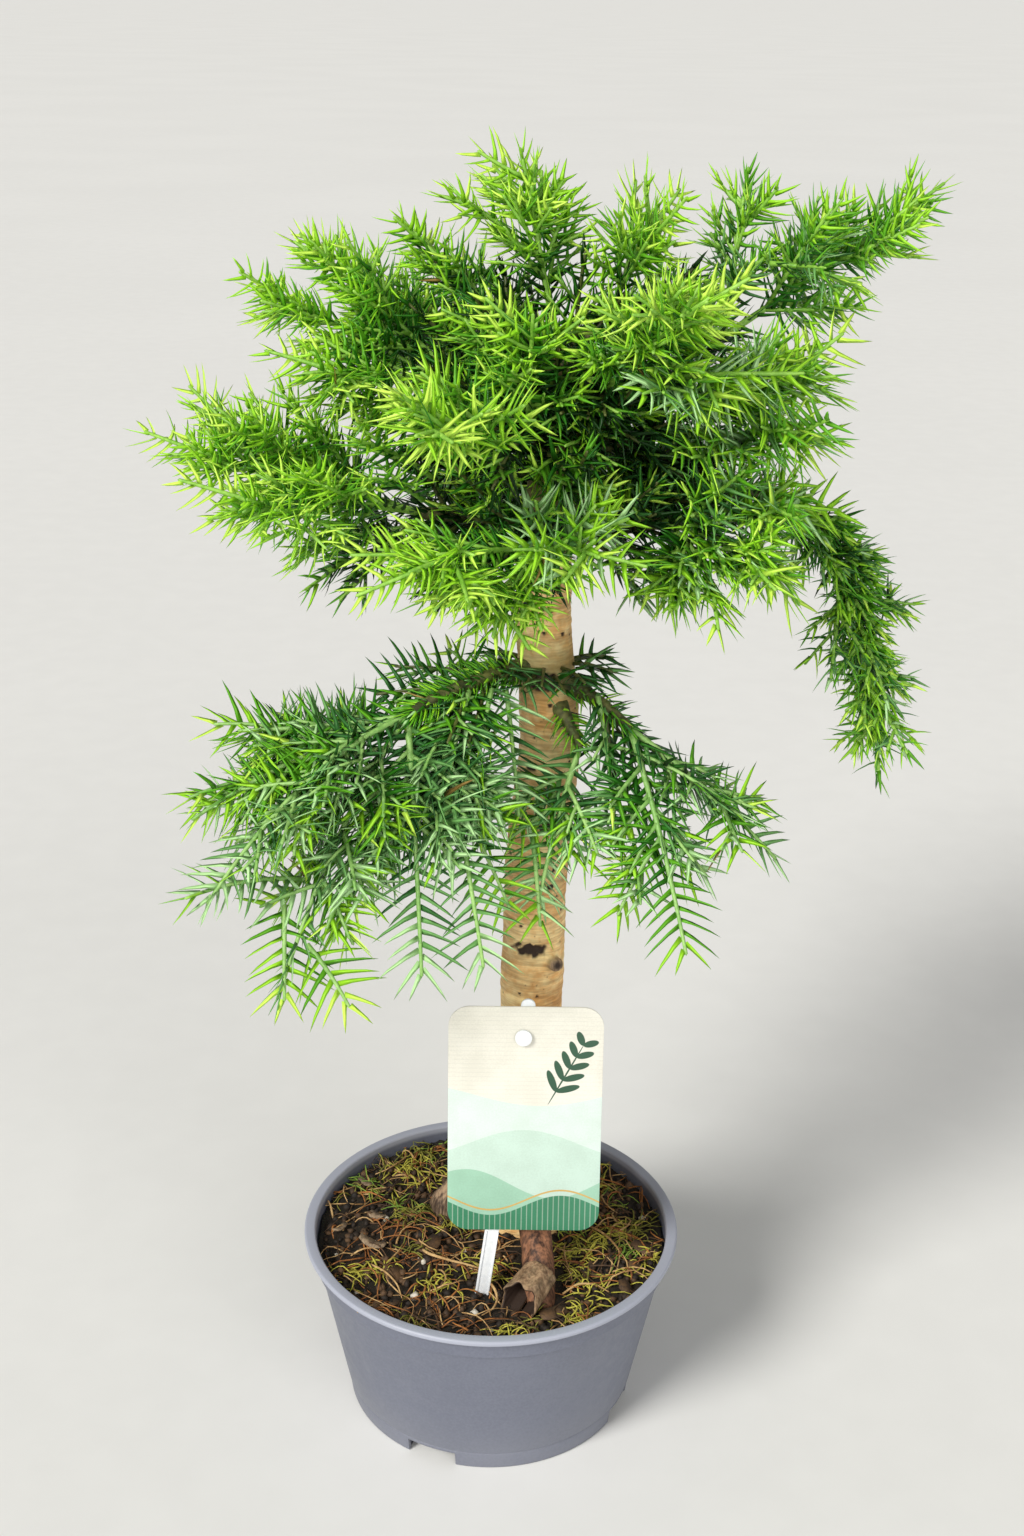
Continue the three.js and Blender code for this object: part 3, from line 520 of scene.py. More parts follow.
# tint runs from 0, old and dark, to 1, fresh lime; cool is the share of bluish shoots;
# spread and bushy turn side shoots up and down, dense multiplies the finer shoots,
# needle is the needles' length, and a limb carries shoots of its own up to the share shootsTo
lowFoliage = dict(spread=60, bushy=0.5, needle=16.2)
boughs = [
    bough("low_left", 306, 214, 60, 299, 8, 3.6, 2.4,
          spray("low_left_arm", 194, 123, 291, -2, 5, 44, -34, 0.46, cool=0.35, last=0.74, **lowFoliage),
          spray("low_left_outer", 205, 144, 265, 8, 6, 48, -22, 0.50, cool=0.6, last=0.74, **lowFoliage),
          spray("low_left_hang", 225, 129, 209, 22, 6, 54, -8, 0.50, cool=0.6, last=0.7, **lowFoliage),
          spray("low_left_inner", 246, 97, 216, 16, 5, 46, -6, 0.46, cool=0.9, last=0.5, **lowFoliage),
          spray("low_left_drop", 217, 147, 244, 22, 5, 46, -8, 0.48, cool=0.5, last=0.74, **lowFoliage),
          spray("low_left_skirt", 258, 85, 217, 16, 5, 38, 0, 0.46, cool=0.8, start=0.82, last=0.45,
                **lowFoliage)),
    bough("low_right", 303, 325, 35, 290, 6, 3.2, 2.1,
          spray("low_right_outer", 338, 98, 240, 6, 5, 36, -6, 0.44, cool=0.65, last=0.62, dense=0.6,
                **lowFoliage),
          spray("low_right_inner", 304, 94, 220, 10, 5, 38, -6, 0.44, cool=0.65, last=0.55, dense=0.5,
                **lowFoliage)),
    bough("low_front", 297, 295, 24, 283, 4, 2.6, 1.8,
          spray("low_front", 268, 56, 229, 9, 4, 28, 0, 0.50, cool=0.7, last=0.5, dense=0.3, **lowFoliage),
          shootsTo=0),
    bough("left", 356, 193, 46, 366, 3, 3.6, 2.4,
          spray("left", 187, 140, 388, 6, 7, 56, 34, 0.60),
          spray("left_fore", 209, 130, 378, 7, 7, 50, -2, 0.61)),
    bough("left_back", 348, 162, 40, 346, 3, 3.2, 2.2,
          spray("left_back", 169, 91, 332, 8, 4, 30, 0, 0.26, cool=0.2)),
    bough("front_low", 352, 262, 40, 362, 4, 3.6, 2.4,
          spray("front_low_left", 241, 105, 366, 5, 5, 44, -24, 0.60, cool=0.15),
          spray("front_low", 255, 79, 334, 14, 4, 30, -6, 0.62, cool=0.15),
          spray("front_low_right", 281, 93, 372, 4, 5, 34, 4, 0.68, cool=0.8, needle=14.4)),
    bough("right_low", 352, 333, 44, 366, 3, 3.6, 2.4,
          spray("right_low", 336, 103, 377, 6, 6, 42, -8, 0.66, cool=0.8, needle=14.6, dense=0.8),
          spray("right_skirt", 330, 101, 346, 10, 4, 38, -6, 0.60, cool=0.4, needle=13.2),
          spray("right_hang", 320, 80, 335, 14, 5, 36, 0, 0.58, cool=0.25, needle=13.2)),
    bough("right_back", 367, 9, 82, 368, 5, 3.4, 2.4,
          spray("right_tail", 7, 132, 247, 38, 8, 34, 0, 0.48, cool=0.25, belly=14, spread=100, needle=10.6,
                first=0.4, taper=0.1, ranked=False, dense=2.2),
          shootsTo=0.6),
    bough("back_low", 354, 88, 38, 362, 3, 3.4, 2.4,
          spray("back_low_right", 62, 108, 356, 6, 4, 46, 0, 0.36, cool=0.3),
          spray("back_low_left", 116, 104, 350, 6, 4, 46, 0, 0.36, cool=0.3)),
    bough("right", 381, 341, 38, 396, 2, 3.2, 2.2,
          spray("right", 345, 105, 419, 8, 7, 46, 8, 0.64, cool=0.65, needle=14.4),
          spray("right_mid", 331, 112, 403, 1, 5, 44, 18, 0.66, cool=0.8, needle=14.6, dense=0.8)),
    bough("right_far", 393, 15, 62, 424, 2, 3.4, 2.4,
          spray("right_far", 13.5, 146, 480, -2, 6, 52, 12, 0.62, cool=0.35, taper=0.9),
          spray("right_upright", 24, 73, 488, 0, 4, 28, 0, 0.64, cool=0.35)),
    bough("front_left", 386, 250, 42, 398, 3, 3.2, 2.2,
          spray("front_left", 250, 132, 417, 6, 6, 32, 4, 0.62, needle=13.5, dense=0.35),
          spray("front_top", 262, 60, 449, 0, 5, 38, 0, 0.62, start=0.6)),
    bough("front_right", 396, 298, 36, 414, 2, 3.0, 2.1,
          spray("front_right", 295, 107, 455, 5, 6, 42, 6, 0.62),
          spray("front_right_low", 311, 100, 428, 3, 6, 42, -2, 0.64, cool=0.75, needle=14.4, dense=0.8)),
    bough("upper_left", 392, 180, 36, 408, 2, 3.2, 2.2,
          spray("upper_left", 178, 112, 444, 4, 6, 40, 2, 0.64),
          spray("upper_left_crest", 172, 98, 459, 6, 5, 40, -4, 0.66, start=0.75),
          spray("upper_left_fore", 204, 98, 418, 6, 5, 46, -24, 0.58)),
    bough("back_right", 381, 56, 36, 410, 2, 3.0, 2.1,
          spray("back_right", 58, 116, 430, 5, 5, 48, 4, 0.44, cool=0.2)),
    bough("back_left", 390, 126, 36, 404, 2, 3.0, 2.1,
          spray("back_left", 126, 114, 420, 5, 5, 48, 4, 0.44, cool=0.2)),
    bough("top_left", 414, 152, 20, 430, 1, 2.6, 1.9,
          spray("top_left", 156, 65, 467, -2, 4, 24, -10, 0.66)),
    bough("top_right", 412, 352, 18, 432, 1, 2.6, 1.9,
          spray("top_right", 352, 37, 478, 2, 5, 38, 2, 0.68)),
]
leader = spray("top", 160, 16, 495, 0, 6, 38, -18, 0.70)
branching = dict(first=0.12, last=0.86, splay=42, splaySpread=16, spread=84, taper=0.6, lengthSpread=0.3,
                 forward=0.12, clearance=4, skin=1, trims=(1, 0.8, 0.62), testAt=(0.4, 0.7, 1.0))
stem = dict(foot=0.6, overhang=9, gap=0.3)


def seeded(seed):
    # repeatable numbers from 0 to 1
    state = seed & 0xFFFFFFFF

    def draw():
        nonlocal state
        state = (state + 0x6D2B79F5) & 0xFFFFFFFF
        mixed = ((state ^ (state >> 15)) * (state | 1)) & 0xFFFFFFFF
        mixed = ((mixed + (((mixed ^ (mixed >> 7)) * (mixed | 61)) & 0xFFFFFFFF)) & 0xFFFFFFFF) ^ mixed
        return ((mixed ^ (mixed >> 14)) & 0xFFFFFFFF) / 4294967296
    return draw


def trunkAxis(height):
    bend = (height - trunk["bowHeight"]) / trunk["bowSpan"]
    x = trunk["x"] + trunk["lean"] * (height - trunk["soil"]) + trunk["bow"] * np.exp(-bend * bend)
    return np.stack(np.broadcast_arrays(x, trunk["y"], height), axis=-1).astype(float)


def trunkRadius(height):
    up = height - trunk["soil"]
    share = min(1.0, max(0.0, up / (trunk["tipHeight"] - trunk["soil"])))
    swell = (trunk["footRadius"] - trunk["tipRadius"]) * (1 - share ** trunk["taperPower"])
    flare = max(0.0, 1 - up / trunk["flareHeight"])
    return trunk["tipRadius"] + swell + trunk["flare"] * flare * flare


def outward(azimuth):
    turn = math.radians(azimuth)
    return np.array((math.cos(turn), math.sin(turn), 0.0))


def placeAt(azimuth, reach, height):
    return trunkAxis(height) + reach * outward(azimuth)


# a curve here is its three control points
def along(curve, t):
    t = np.asarray(t, dtype=float)[..., None]
    return (1 - t) ** 2 * curve[0] + 2 * t * (1 - t) * curve[1] + t * t * curve[2]


def heading(curve, t):
    t = np.asarray(t, dtype=float)[..., None]
    return unit((1 - t) * (curve[1] - curve[0]) + t * (curve[2] - curve[1]))


def shareAt(curve, u):
    # the curve's own t at a share u of its length
    t = np.linspace(0, 1, 201)
    steps = np.linalg.norm(np.diff(along(curve, t), axis=0), axis=1)
    reached = np.concatenate(([0], np.cumsum(steps)))
    return np.interp(np.asarray(u) * reached[-1], reached, t), reached[-1]


def boughCurve(b):
    start = trunkAxis(b["height"])
    end = placeAt(b["azimuth"], b["reach"], b["tipHeight"])
    return np.array((start, (start + end) / 2 + b["arch"] * upward, end))


def sprayCurve(s, base, baseRadius, limbWay=None):
    tip = placeAt(s["azimuth"], s["reach"], s["tipHeight"])
    middle = (base + tip) / 2 + s["arch"] * upward + s["belly"] * outward(s["azimuth"])
    way = unit(middle - base)
    slant = 0.0 if limbWay is None else float(limbWay @ way)
    clear = (baseRadius + stem["foot"] * abs(slant)) / math.sqrt(1 - slant * slant)
    end = tip - stem["overhang"] * unit(tip - middle)
    return np.array((base + way * (clear + stem["gap"]), middle, end))


def placeSprays():
    found = []
    for b in boughs:
        b["curve"] = boughCurve(b)
        b["line"] = along(b["curve"], np.linspace(0, 1, 13))
        for s in b["sprays"]:
            if s["start"]:
                t, _ = shareAt(b["curve"], s["start"])
                radius = b["radius"] + (b["tipRadius"] - b["radius"]) * s["start"]
                s["base"] = along(b["curve"], t)
                s["curve"] = sprayCurve(s, s["base"], radius, heading(b["curve"], t))
            else:
                s["base"] = b["curve"][2]
                s["curve"] = sprayCurve(s, s["base"], b["tipRadius"])
            found.append(s)
    leader["base"] = trunkAxis(trunk["tipHeight"])
    leader["curve"] = sprayCurve(leader, leader["base"], trunk["tipRadius"])
    found.append(leader)
    for order, s in enumerate(found):
        s["order"] = order
        s["line"] = along(s["curve"], np.linspace(0, 1, 25))
    return found


sprays = placeSprays()
byName = {s["name"]: s for s in sprays}
sprayLines = np.array([s["line"] for s in sprays])
boughLines = np.array([b["line"] for b in boughs])
boughRadii = np.array([b["radius"] for b in boughs])


def clearOfWood(point, margin):
    near = np.linalg.norm(boughLines - point, axis=2).min(axis=1)
    if (near < boughRadii + branching["skin"] + margin).any():
        return False
    height = min(point[2], trunk["tipHeight"])
    return np.linalg.norm(point - trunkAxis(height)) > trunkRadius(height) + branching["skin"] + margin


def inSpace(s, point, margin):
    # nearer its own stem than any other, and clear of the wood
    near = np.linalg.norm(sprayLines - point, axis=2).min(axis=1)
    own = near[s["order"]] + margin
    near[s["order"]] = np.inf
    return near.min() >= own and clearOfWood(point, margin)


def sideCurves(parent, count, length, roll, seed, keep, **changes):
    # side shoots of a parent curve, turn about left and right, each kept only where keep() lets it
    rule = {**branching, **changes}
    first, last = rule["first"], rule["last"]
    draw = seeded(seed)
    chord = parent[2] - parent[0]
    across = unit(np.array((-chord[1], chord[0], 0.0)))
    found = []
    for i in range(count):  # each within the middle half of its step
        t = first + (last - first) * (i + 0.25 + 0.5 * draw()) / count
        splay = math.radians(rule["splay"] + rule["splaySpread"] * draw())
        turn = math.radians(roll + rule["spread"] * (draw() - 0.5))
        vary = 1 - rule["lengthSpread"] / 2 + rule["lengthSpread"] * draw()
        size = length * (1 - rule["taper"] * t) * vary
        start = along(parent, t)
        way = heading(parent, t)
        above = unit(np.cross(way, across))
        side = np.cross(above, way) * (1 if i % 2 else -1)
        out = side * math.cos(turn) + above * math.sin(turn)
        lead = way * math.cos(splay) + out * math.sin(splay)
        for share in rule["trims"]:
            reach = size * share
            end = start + lead * reach + way * rule["forward"] * reach
            curve = np.array((start, start + lead * reach * 0.5, end))
            if all(keep(point) for point in along(curve, rule["testAt"])):
                found.append(curve)
                break
    return found


# finer twigs inside the solids' reach: more shoots on each stem, on the limbs and on the trunk's top,
# and small ones on every shoot
finer = dict(
    stemShare=0.8, fullShare=0.62, stemSpacing=5.2, lowStemSpacing=7.0, stemRoll=140,
    tipTaper=0.28, mostTaper=0.95,
    clothing=4.2, clothingShare=0.5, clothingFirst=0.06,
    limbLength=42, limbFirst=0.3, limbSpacing=5.5, limbRoll=200,
    lowLimbSpacing=3.4, lowLimbRoll=90, lowLimbTurn=-36, shortLimb=50, shortLimbSpacing=9.0,
    whorl=15, whorlFrom=140, whorlStep=18, whorlHeight=306, whorlStagger=3, whorlLength=15, whorlBend=5,
    whorlRise=2, whorlDrop=1, whorlSpray="low_right_outer",
    trunkShoots=28, trunkFrom=352, trunkTo=424, trunkTurn=40, trunkLength=50, trunkRise=28, trunkArch=3,
    twigShare=0.52, twigSpacing=9.5, lowTwigSpacing=18, twigRoll=70, twigFirst=0.2, twigLast=0.7, shortest=8,
    handArch=0.12, clearance=2.0, margin=2, short=5,
)
# first seed of each kind of shoot, and the step to the next spray's or shoot's
seeds = dict(main=(1000, 77), more=(5000, 31), clothing=(7000, 31), twigs=(9000, 131), limb=(20000, 31),
             limbTwigs=(24000, 131), trunkTwigs=(30000, 17), handTwigs=(40000, 17))
# shoots set one by one where the rule leaves a spray too open: spray, foot and tip
handSet = [
    ("low_front", (3, -6, 305), (8, -28, 266)),
    ("low_front", (36, 0, 301), (42, -12, 267)),
    ("low_front", (13, -26, 257), (16, -42, 230)),
    ("low_left_arm", (-60, -8, 285), (-100, -12, 293)),
    ("low_left_outer", (-66, -20, 278), (-106, -36, 275)),
    ("low_left_drop", (-67, -48, 250), (-104, -66, 251)),
    ("low_left_hang", (-64, -62, 232), (-49, -76, 216)),
    ("low_left_hang", (-72, -56, 244), (-71, -74, 217)),
    ("low_left_skirt", (-2, -8, 306), (-7, -30, 283)),
    ("low_left_skirt", (-10, -10, 306), (-17, -34, 280)),
    ("low_left_skirt", (-20, -24, 280), (5, -46, 239)),
    ("low_right_outer", (39, -4, 284), (80, -26, 272)),
    ("low_right_inner", (42, -12, 269), (19, -30, 257)),
    ("left_fore", (-23, -8, 382), (-48, -34, 400)),
    ("left_fore", (-26, -12, 375), (-42, -40, 389)),
    ("upper_left_fore", (-22, -2, 393), (-38, -26, 405)),
    ("top", (3, 14, 460), (-21, 10, 472)),
    ("right_far", (90, 16, 451), (121, 2, 444)),
]


def seedOf(kind, order):
    start, step = seeds[kind]
    return start + step * order


boxLow = np.array(cadBox[0]) / mm - finer["margin"]
boxHigh = np.array(cadBox[1]) / mm + finer["margin"]


def roomy(point):
    # inside the solids' reach and clear of the wood
    return (point > boxLow).all() and (point < boxHigh).all() and clearOfWood(point, finer["clearance"])


def twigsOn(s, parents, seed, keep):
    # small twigs on every shoot that is long enough
    found = []
    for k, parent in enumerate(parents):
        _, length = shareAt(parent, 1.0)
        if length * finer["twigShare"] < finer["shortest"]:
            continue
        count = max(1, round(length / finer["lowTwigSpacing" if isLow(s) else "twigSpacing"]))
        small = sideCurves(parent, count, length * finer["twigShare"], 0, seed + k, keep,
                           first=finer["twigFirst"], last=finer["twigLast"], spread=finer["twigRoll"])
        found += [dict(spray=s, curve=c, level=3) for c in small]
    return found


def growSpray(s):
    order, tip = s["order"], s["curve"][2]
    lastWay = heading(s["curve"], 1.0)

    def short(point):  # nothing reaches past the stem's own tip
        return roomy(point) and (point - tip) @ lastWay < -finer["short"]

    stemCurve = np.array((s["base"], s["curve"][1], s["curve"][2]))
    _, stemLength = shareAt(stemCurve, 1.0)
    main = sideCurves(s["curve"], s["shoots"], s["length"], s["roll"], seedOf("main", order),
                      lambda p: inSpace(s, p, branching["clearance"]), spread=s["spread"], first=s["first"],
                      last=s["last"], taper=s["taper"])
    isSlim = s["ranked"] and not isLow(s)  # full near the limb, one slim shoot at the tip
    share = finer["stemShare" if isSlim else "fullShare"] / math.sqrt(max(s["dense"], 1.0))
    taper = min(s["taper"] + finer["tipTaper"] * isSlim, finer["mostTaper"])
    count = round(s["dense"] * stemLength / finer["lowStemSpacing" if isLow(s) else "stemSpacing"])
    more = sideCurves(s["curve"], count, s["length"] * share, s["roll"], seedOf("more", order), short,
                      spread=s["bushy"] * finer["stemRoll"], first=s["first"], last=s["last"], taper=taper)
    if s["first"] > branching["first"]:  # short shoots clothe the stem above its first long ones
        count = round(s["dense"] * stemLength * s["first"] / finer["clothing"])
        more += sideCurves(s["curve"], count, s["length"] * finer["clothingShare"], s["roll"],
                           seedOf("clothing", order), short, spread=finer["stemRoll"],
                           first=finer["clothingFirst"], last=s["first"], taper=0.0)
    found = [dict(spray=s, curve=stemCurve, level=0)]
    found += [dict(spray=s, curve=c, level=1) for c in main]
    found += [dict(spray=s, curve=c, level=2) for c in more]
    return found + twigsOn(s, main + more, seedOf("twigs", order), short)


def isShort(b):
    return isLow(b["sprays"][0]) and b["reach"] < finer["shortLimb"]


def growLimb(order, b):
    # old shoots on the limb itself
    s = b["sprays"][0]
    if not b["shootsTo"]:
        return []
    kind = "lowLimb" if isLow(s) else "limb"
    spacing = finer["shortLimbSpacing" if isShort(b) else kind + "Spacing"]
    curves = sideCurves(b["curve"], round(b["reach"] / spacing), finer["limbLength"],
                        finer["lowLimbTurn"] if isLow(s) else 0, seedOf("limb", order), roomy,
                        first=finer["limbFirst"], last=b["shootsTo"], spread=finer[kind + "Roll"])
    found = [dict(spray=s, curve=c, level=2, old=True) for c in curves]
    return found + twigsOn(s, curves, seedOf("limbTwigs", order), roomy)


def growByHand(order, name, foot, tip):
    s = byName[name]
    foot, tip = np.array(foot, dtype=float), np.array(tip, dtype=float)
    middle = (foot + tip) / 2 + upward * finer["handArch"] * np.linalg.norm(tip - foot)
    curve = np.array((foot, middle, tip))
    found = [dict(spray=s, curve=curve, level=1)]
    return found if isLow(s) else found + twigsOn(s, [curve], seedOf("handTwigs", order), roomy)


def growWhorl():
    # short dark shoots round the trunk where the lower boughs leave it
    f = finer
    found = []
    for k in range(f["whorl"]):
        out = outward(f["whorlFrom"] + f["whorlStep"] * k)
        foot = trunkAxis(f["whorlHeight"] + f["whorlStagger"] * (k % 2))
        start = foot + out * trunkRadius(f["whorlHeight"])
        bend = start + out * f["whorlBend"] + upward * f["whorlRise"]
        tip = start + out * f["whorlLength"] - upward * f["whorlDrop"]
        curve = np.array((start, bend, tip))
        found.append(dict(spray=byName[f["whorlSpray"]], curve=curve, level=3, old=True))
    return found


def growTrunkTop():
    # old shoots round the trunk inside the crown
    f = finer
    found = []
    rise = math.tan(math.radians(f["trunkRise"]))
    for k in range(f["trunkShoots"]):
        foot = trunkAxis(f["trunkFrom"] + (f["trunkTo"] - f["trunkFrom"]) * k / (f["trunkShoots"] - 1))
        out = outward(math.degrees(goldenAngle * k) + f["trunkTurn"])
        bend = foot + out * f["trunkLength"] * 0.5 + upward * f["trunkArch"]
        curve = np.array((foot, bend, foot + (out + rise * upward) * f["trunkLength"]))
        if all(roomy(point) for point in along(curve, branching["testAt"][1:])):
            found.append(dict(spray=leader, curve=curve, level=2, old=True))
            found += twigsOn(leader, [curve], seedOf("trunkTwigs", k), roomy)
    return found


def growAll():
    found = []
    for s in sprays:
        found += growSpray(s)
    for order, b in enumerate(boughs):
        found += growLimb(order, b)
    for order, row in enumerate(handSet):
        found += growByHand(order, *row)
    return found + growWhorl() + growTrunkTop()


shoots = growAll()
print("plant grown,", len(sprays), "sprays,", len(shoots), "shoots")


# trunk and boughs: tubes drawn as curves, fused into one skin, then given bark relief

wood = dict(trunkVoxel=0.85, boughVoxel=0.9, smooth=4, bury=6, cutAt=63.5, trunkStep=6, tubeSteps=12,
            collar=1.5, collarFade=4, limbLump=0.5, limbLumpSize=5.5, limbGrain=0.22, limbGrainSize=1.9)
bark = dict(
    lump=0.6, lumpSize=17, ring=0.34, ringSize=2.2, ringSpan=15, grain=0.12, grainSize=2.2,
    rootFrom=0.5, rootFade=3, rootRidge=1.1, rootRidgeSize=(3.0, 16, 7), rootFront=(2, 12), rootToe=(4, 6),
    pits=190, pitWide=1.0, pitSpread=(0.5, 1.25), pitShape=(0.8, 0.8, 1.2), pitDepth=0.6,
    pitFrom=80, pitTo=345, seed=311,
    # height, azimuth, half width, half height and depth of each scar
    scars=[(195.5, 261, 8.8, 3.0, 1.3), (247, 276, 3.0, 2.2, 0.8), (270, 232, 3.0, 2.2, 0.8),
           (161, 236, 5.5, 1.3, 0.6), (222, 300, 2.6, 1.4, 0.5), (331, 275, 4.5, 0.8, 0.5),
           (304, 262, 9.0, 4.0, 0.5)],
    scarEdge=1.15, ragged=1.1, raggedSize=2.0, lipAt=1.7, lipRise=0.35,
    # the stub's dark end is a painted shade standing for its hole
    stub=dict(height=190, azimuth=305, radius=3.0, length=3.6, root=4, taper=0.9,
              holeShadeAt=1, holeShadeEdge=1.3, holeShadeReach=2.2),
    # heights between which the bark is mossy, and their fades
    mossFrom=292, mossTo=322, mossFade=(14, 12), moss=0.6, crownFrom=345, crownFade=25,
)


def drawTubes(name, lines):
    # one curve object with a line for each tube
    bpy.ops.curve.primitive_bezier_curve_add()
    obj = bpy.context.object
    obj.name = name
    curve = obj.data
    curve.splines.clear()
    curve.bevel_depth = mm
    curve.bevel_resolution = 5
    curve.use_fill_caps = True
    for points, radii in lines:
        spline = curve.splines.new("POLY")
        spline.points.add(len(points) - 1)
        for place, point, radius in zip(spline.points, points, radii):
            place.co = (*(point * mm), 1)
            place.radius = radius
    pickOnly(obj)
    bpy.ops.object.convert(target="MESH")
    return bpy.context.object


def fuse(obj, voxel):
    remesh = obj.modifiers.new("fuse", "REMESH")
    remesh.mode = "VOXEL"
    remesh.voxel_size = voxel * mm
    applyModifiers(obj)
    bpy.ops.object.mode_set(mode="EDIT")
    bpy.ops.mesh.select_all(action="SELECT")
    bpy.ops.mesh.vertices_smooth(factor=0.5, repeat=wood["smooth"])
    bpy.ops.object.mode_set(mode="OBJECT")


def readVerts(obj, what):
    found = np.empty(3 * len(obj.data.vertices), dtype=np.float32)
    obj.data.vertices.foreach_get(what, found)
    return found.reshape(-1, 3).astype(float)


def noiseAt(places, *sizes):
    return np.array([noise.noise(p) for p in (places / np.array(sizes)).tolist()])


def pushOut(obj, places, normals, amount):
    moved = (places + normals * amount[:, None]) * mm
    obj.data.vertices.foreach_set("co", moved.astype(np.float32).ravel())
    obj.data.update()


def rootCurve(root):
    start = trunkAxis(root["height"])
    bend = placeAt(root["azimuth"], root["reach"] * rootBend["at"], root["height"] - rootBend["drop"])
    return np.array((start, bend, placeAt(root["azimuth"], root["reach"], trunk["soil"] - rootBend["sink"])))


def makeTrunk():
    heights = np.arange(trunk["soil"] - wood["bury"], trunk["tipHeight"] + 1, wood["trunkStep"])
    lines = [(trunkAxis(heights), [trunkRadius(h) for h in heights])]
    t = np.linspace(0, 1, wood["tubeSteps"])
    for root in roots:
        lines.append((along(rootCurve(root), t), root["radius"] + (root["tipRadius"] - root["radius"]) * t))
    stub = bark["stub"]
    side = trunkRadius(stub["height"])
    steps = (-stub["root"], 0, stub["length"])
    places = [placeAt(stub["azimuth"], side + out, stub["height"]) for out in steps]
    lines.append((np.array(places), [stub["radius"], stub["radius"], stub["radius"] * stub["taper"]]))
    obj = drawTubes("trunkBark", lines)
    fuse(obj, wood["trunkVoxel"])
    bpy.ops.object.mode_set(mode="EDIT")
    bpy.ops.mesh.select_all(action="SELECT")
    bpy.ops.mesh.bisect(plane_co=(0, 0, wood["cutAt"] * mm), plane_no=(0, 0, 1), use_fill=True,
                        clear_inner=True)
    bpy.ops.object.mode_set(mode="OBJECT")
    carveTrunk(obj)
    pickOnly(obj)
    bpy.ops.object.shade_smooth()
    return obj


def carveTrunk(obj):
    # bark relief, and a woodTone of dark spots (with the painted shade of the stub's hole), moss, red root
    # and grey root
    b = bark
    places, normals = readVerts(obj, "co") / mm, readVerts(obj, "normal")
    height = places[:, 2]
    offset = places - trunkAxis(np.minimum(height, trunk["tipHeight"]))
    away = np.linalg.norm(offset[:, :2], axis=1)
    azimuth = np.degrees(np.arctan2(offset[:, 1], offset[:, 0])) % 360
    wide = np.array([trunkRadius(h) for h in height])
    onRoot = np.clip((away - wide - b["rootFrom"]) / b["rootFade"], 0, 1)
    push = b["lump"] * noiseAt(places, b["lumpSize"]) + b["grain"] * noiseAt(places, b["grainSize"])
    push += (1 - onRoot) * b["ring"] * noiseAt(places, b["ringSpan"], b["ringSpan"], b["ringSize"])
    push += onRoot * b["rootRidge"] * noiseAt(places, *b["rootRidgeSize"])
    dark = np.zeros(len(places))
    rng = np.random.default_rng(b["seed"])
    for _ in range(b["pits"]):
        at = rng.uniform(b["pitFrom"], b["pitTo"])
        spot = placeAt(rng.uniform(0, 360), trunkRadius(at), at)
        near = ((places - spot) * b["pitShape"]) ** 2 / (b["pitWide"] * rng.uniform(*b["pitSpread"])) ** 2
        dent = np.clip(1 - near.sum(axis=1), 0, 1)
        push -= b["pitDepth"] * dent
        dark = np.maximum(dark, dent)
    ragged = noiseAt(places, b["raggedSize"])
    for at, turn, halfWide, halfTall, depth in b["scars"]:
        around = ((azimuth - turn + 180) % 360 - 180) * np.pi / 180 * away
        inside = (around / halfWide) ** 2 + ((height - at) / halfTall) ** 2 + b["ragged"] * ragged
        dent = np.clip(b["scarEdge"] - inside, 0, 1)
        lip = np.clip(1 - np.abs(inside - b["lipAt"]), 0, 1)
        push += (b["lipRise"] * depth * lip - depth * dent) * (1 - onRoot)
        dark = np.maximum(dark, dent * (1 - onRoot))
    # painted shade: a dark spot on the stub's end stands for its hole
    stub = b["stub"]
    reach = trunkRadius(stub["height"]) + stub["length"] + stub["holeShadeAt"]
    end = placeAt(stub["azimuth"], reach, stub["height"])
    nearEnd = np.linalg.norm(places - end, axis=1) / stub["holeShadeReach"]
    dark = np.maximum(dark, np.clip(stub["holeShadeEdge"] - nearEnd, 0, 1))
    pushOut(obj, places, normals, push)
    fadeIn, fadeOut = b["mossFade"]
    green = np.clip((height - b["mossFrom"]) / fadeIn, 0, 1) * np.clip((b["mossTo"] - height) / fadeOut, 0, 1)
    green = np.maximum(b["moss"] * green, np.clip((height - b["crownFrom"]) / b["crownFade"], 0, 1))
    ahead = -places[:, 1]
    (frontAt, frontFade), (toeAt, toeFade) = b["rootFront"], b["rootToe"]
    front = onRoot * np.clip((ahead + frontAt) / frontFade, 0, 1)
    front = np.maximum(front, np.clip((ahead - toeAt) / toeFade, 0, 1))
    tones = np.stack((dark, green, front, onRoot * (1 - front)), axis=1).astype(np.float32)
    tone = obj.data.attributes.new("woodTone", "FLOAT_COLOR", "POINT")
    tone.data.foreach_set("color", tones.ravel())


# the torn bark at the front root's end, a bent sheet open at its foot
toe = dict(start=(19.4, -35, 77), end=(9.2, -50.5, 71), radius=6.2, endRadius=7.2, opening=350, thick=1.0,
           press=0.78, cut=0.86, cutSlope=0.26, torn=0.07, tears=(9, 31), rough=1.1, ridges=(11, 26),
           around=56, lengthwise=22,
           # the hollow's inner faces get the full dark tone: painted shade inside the hollow
           inside=(1.0, 0.0, 0.0, 0.9), outside=(0.0, 0.0, 0.2, 0.9))


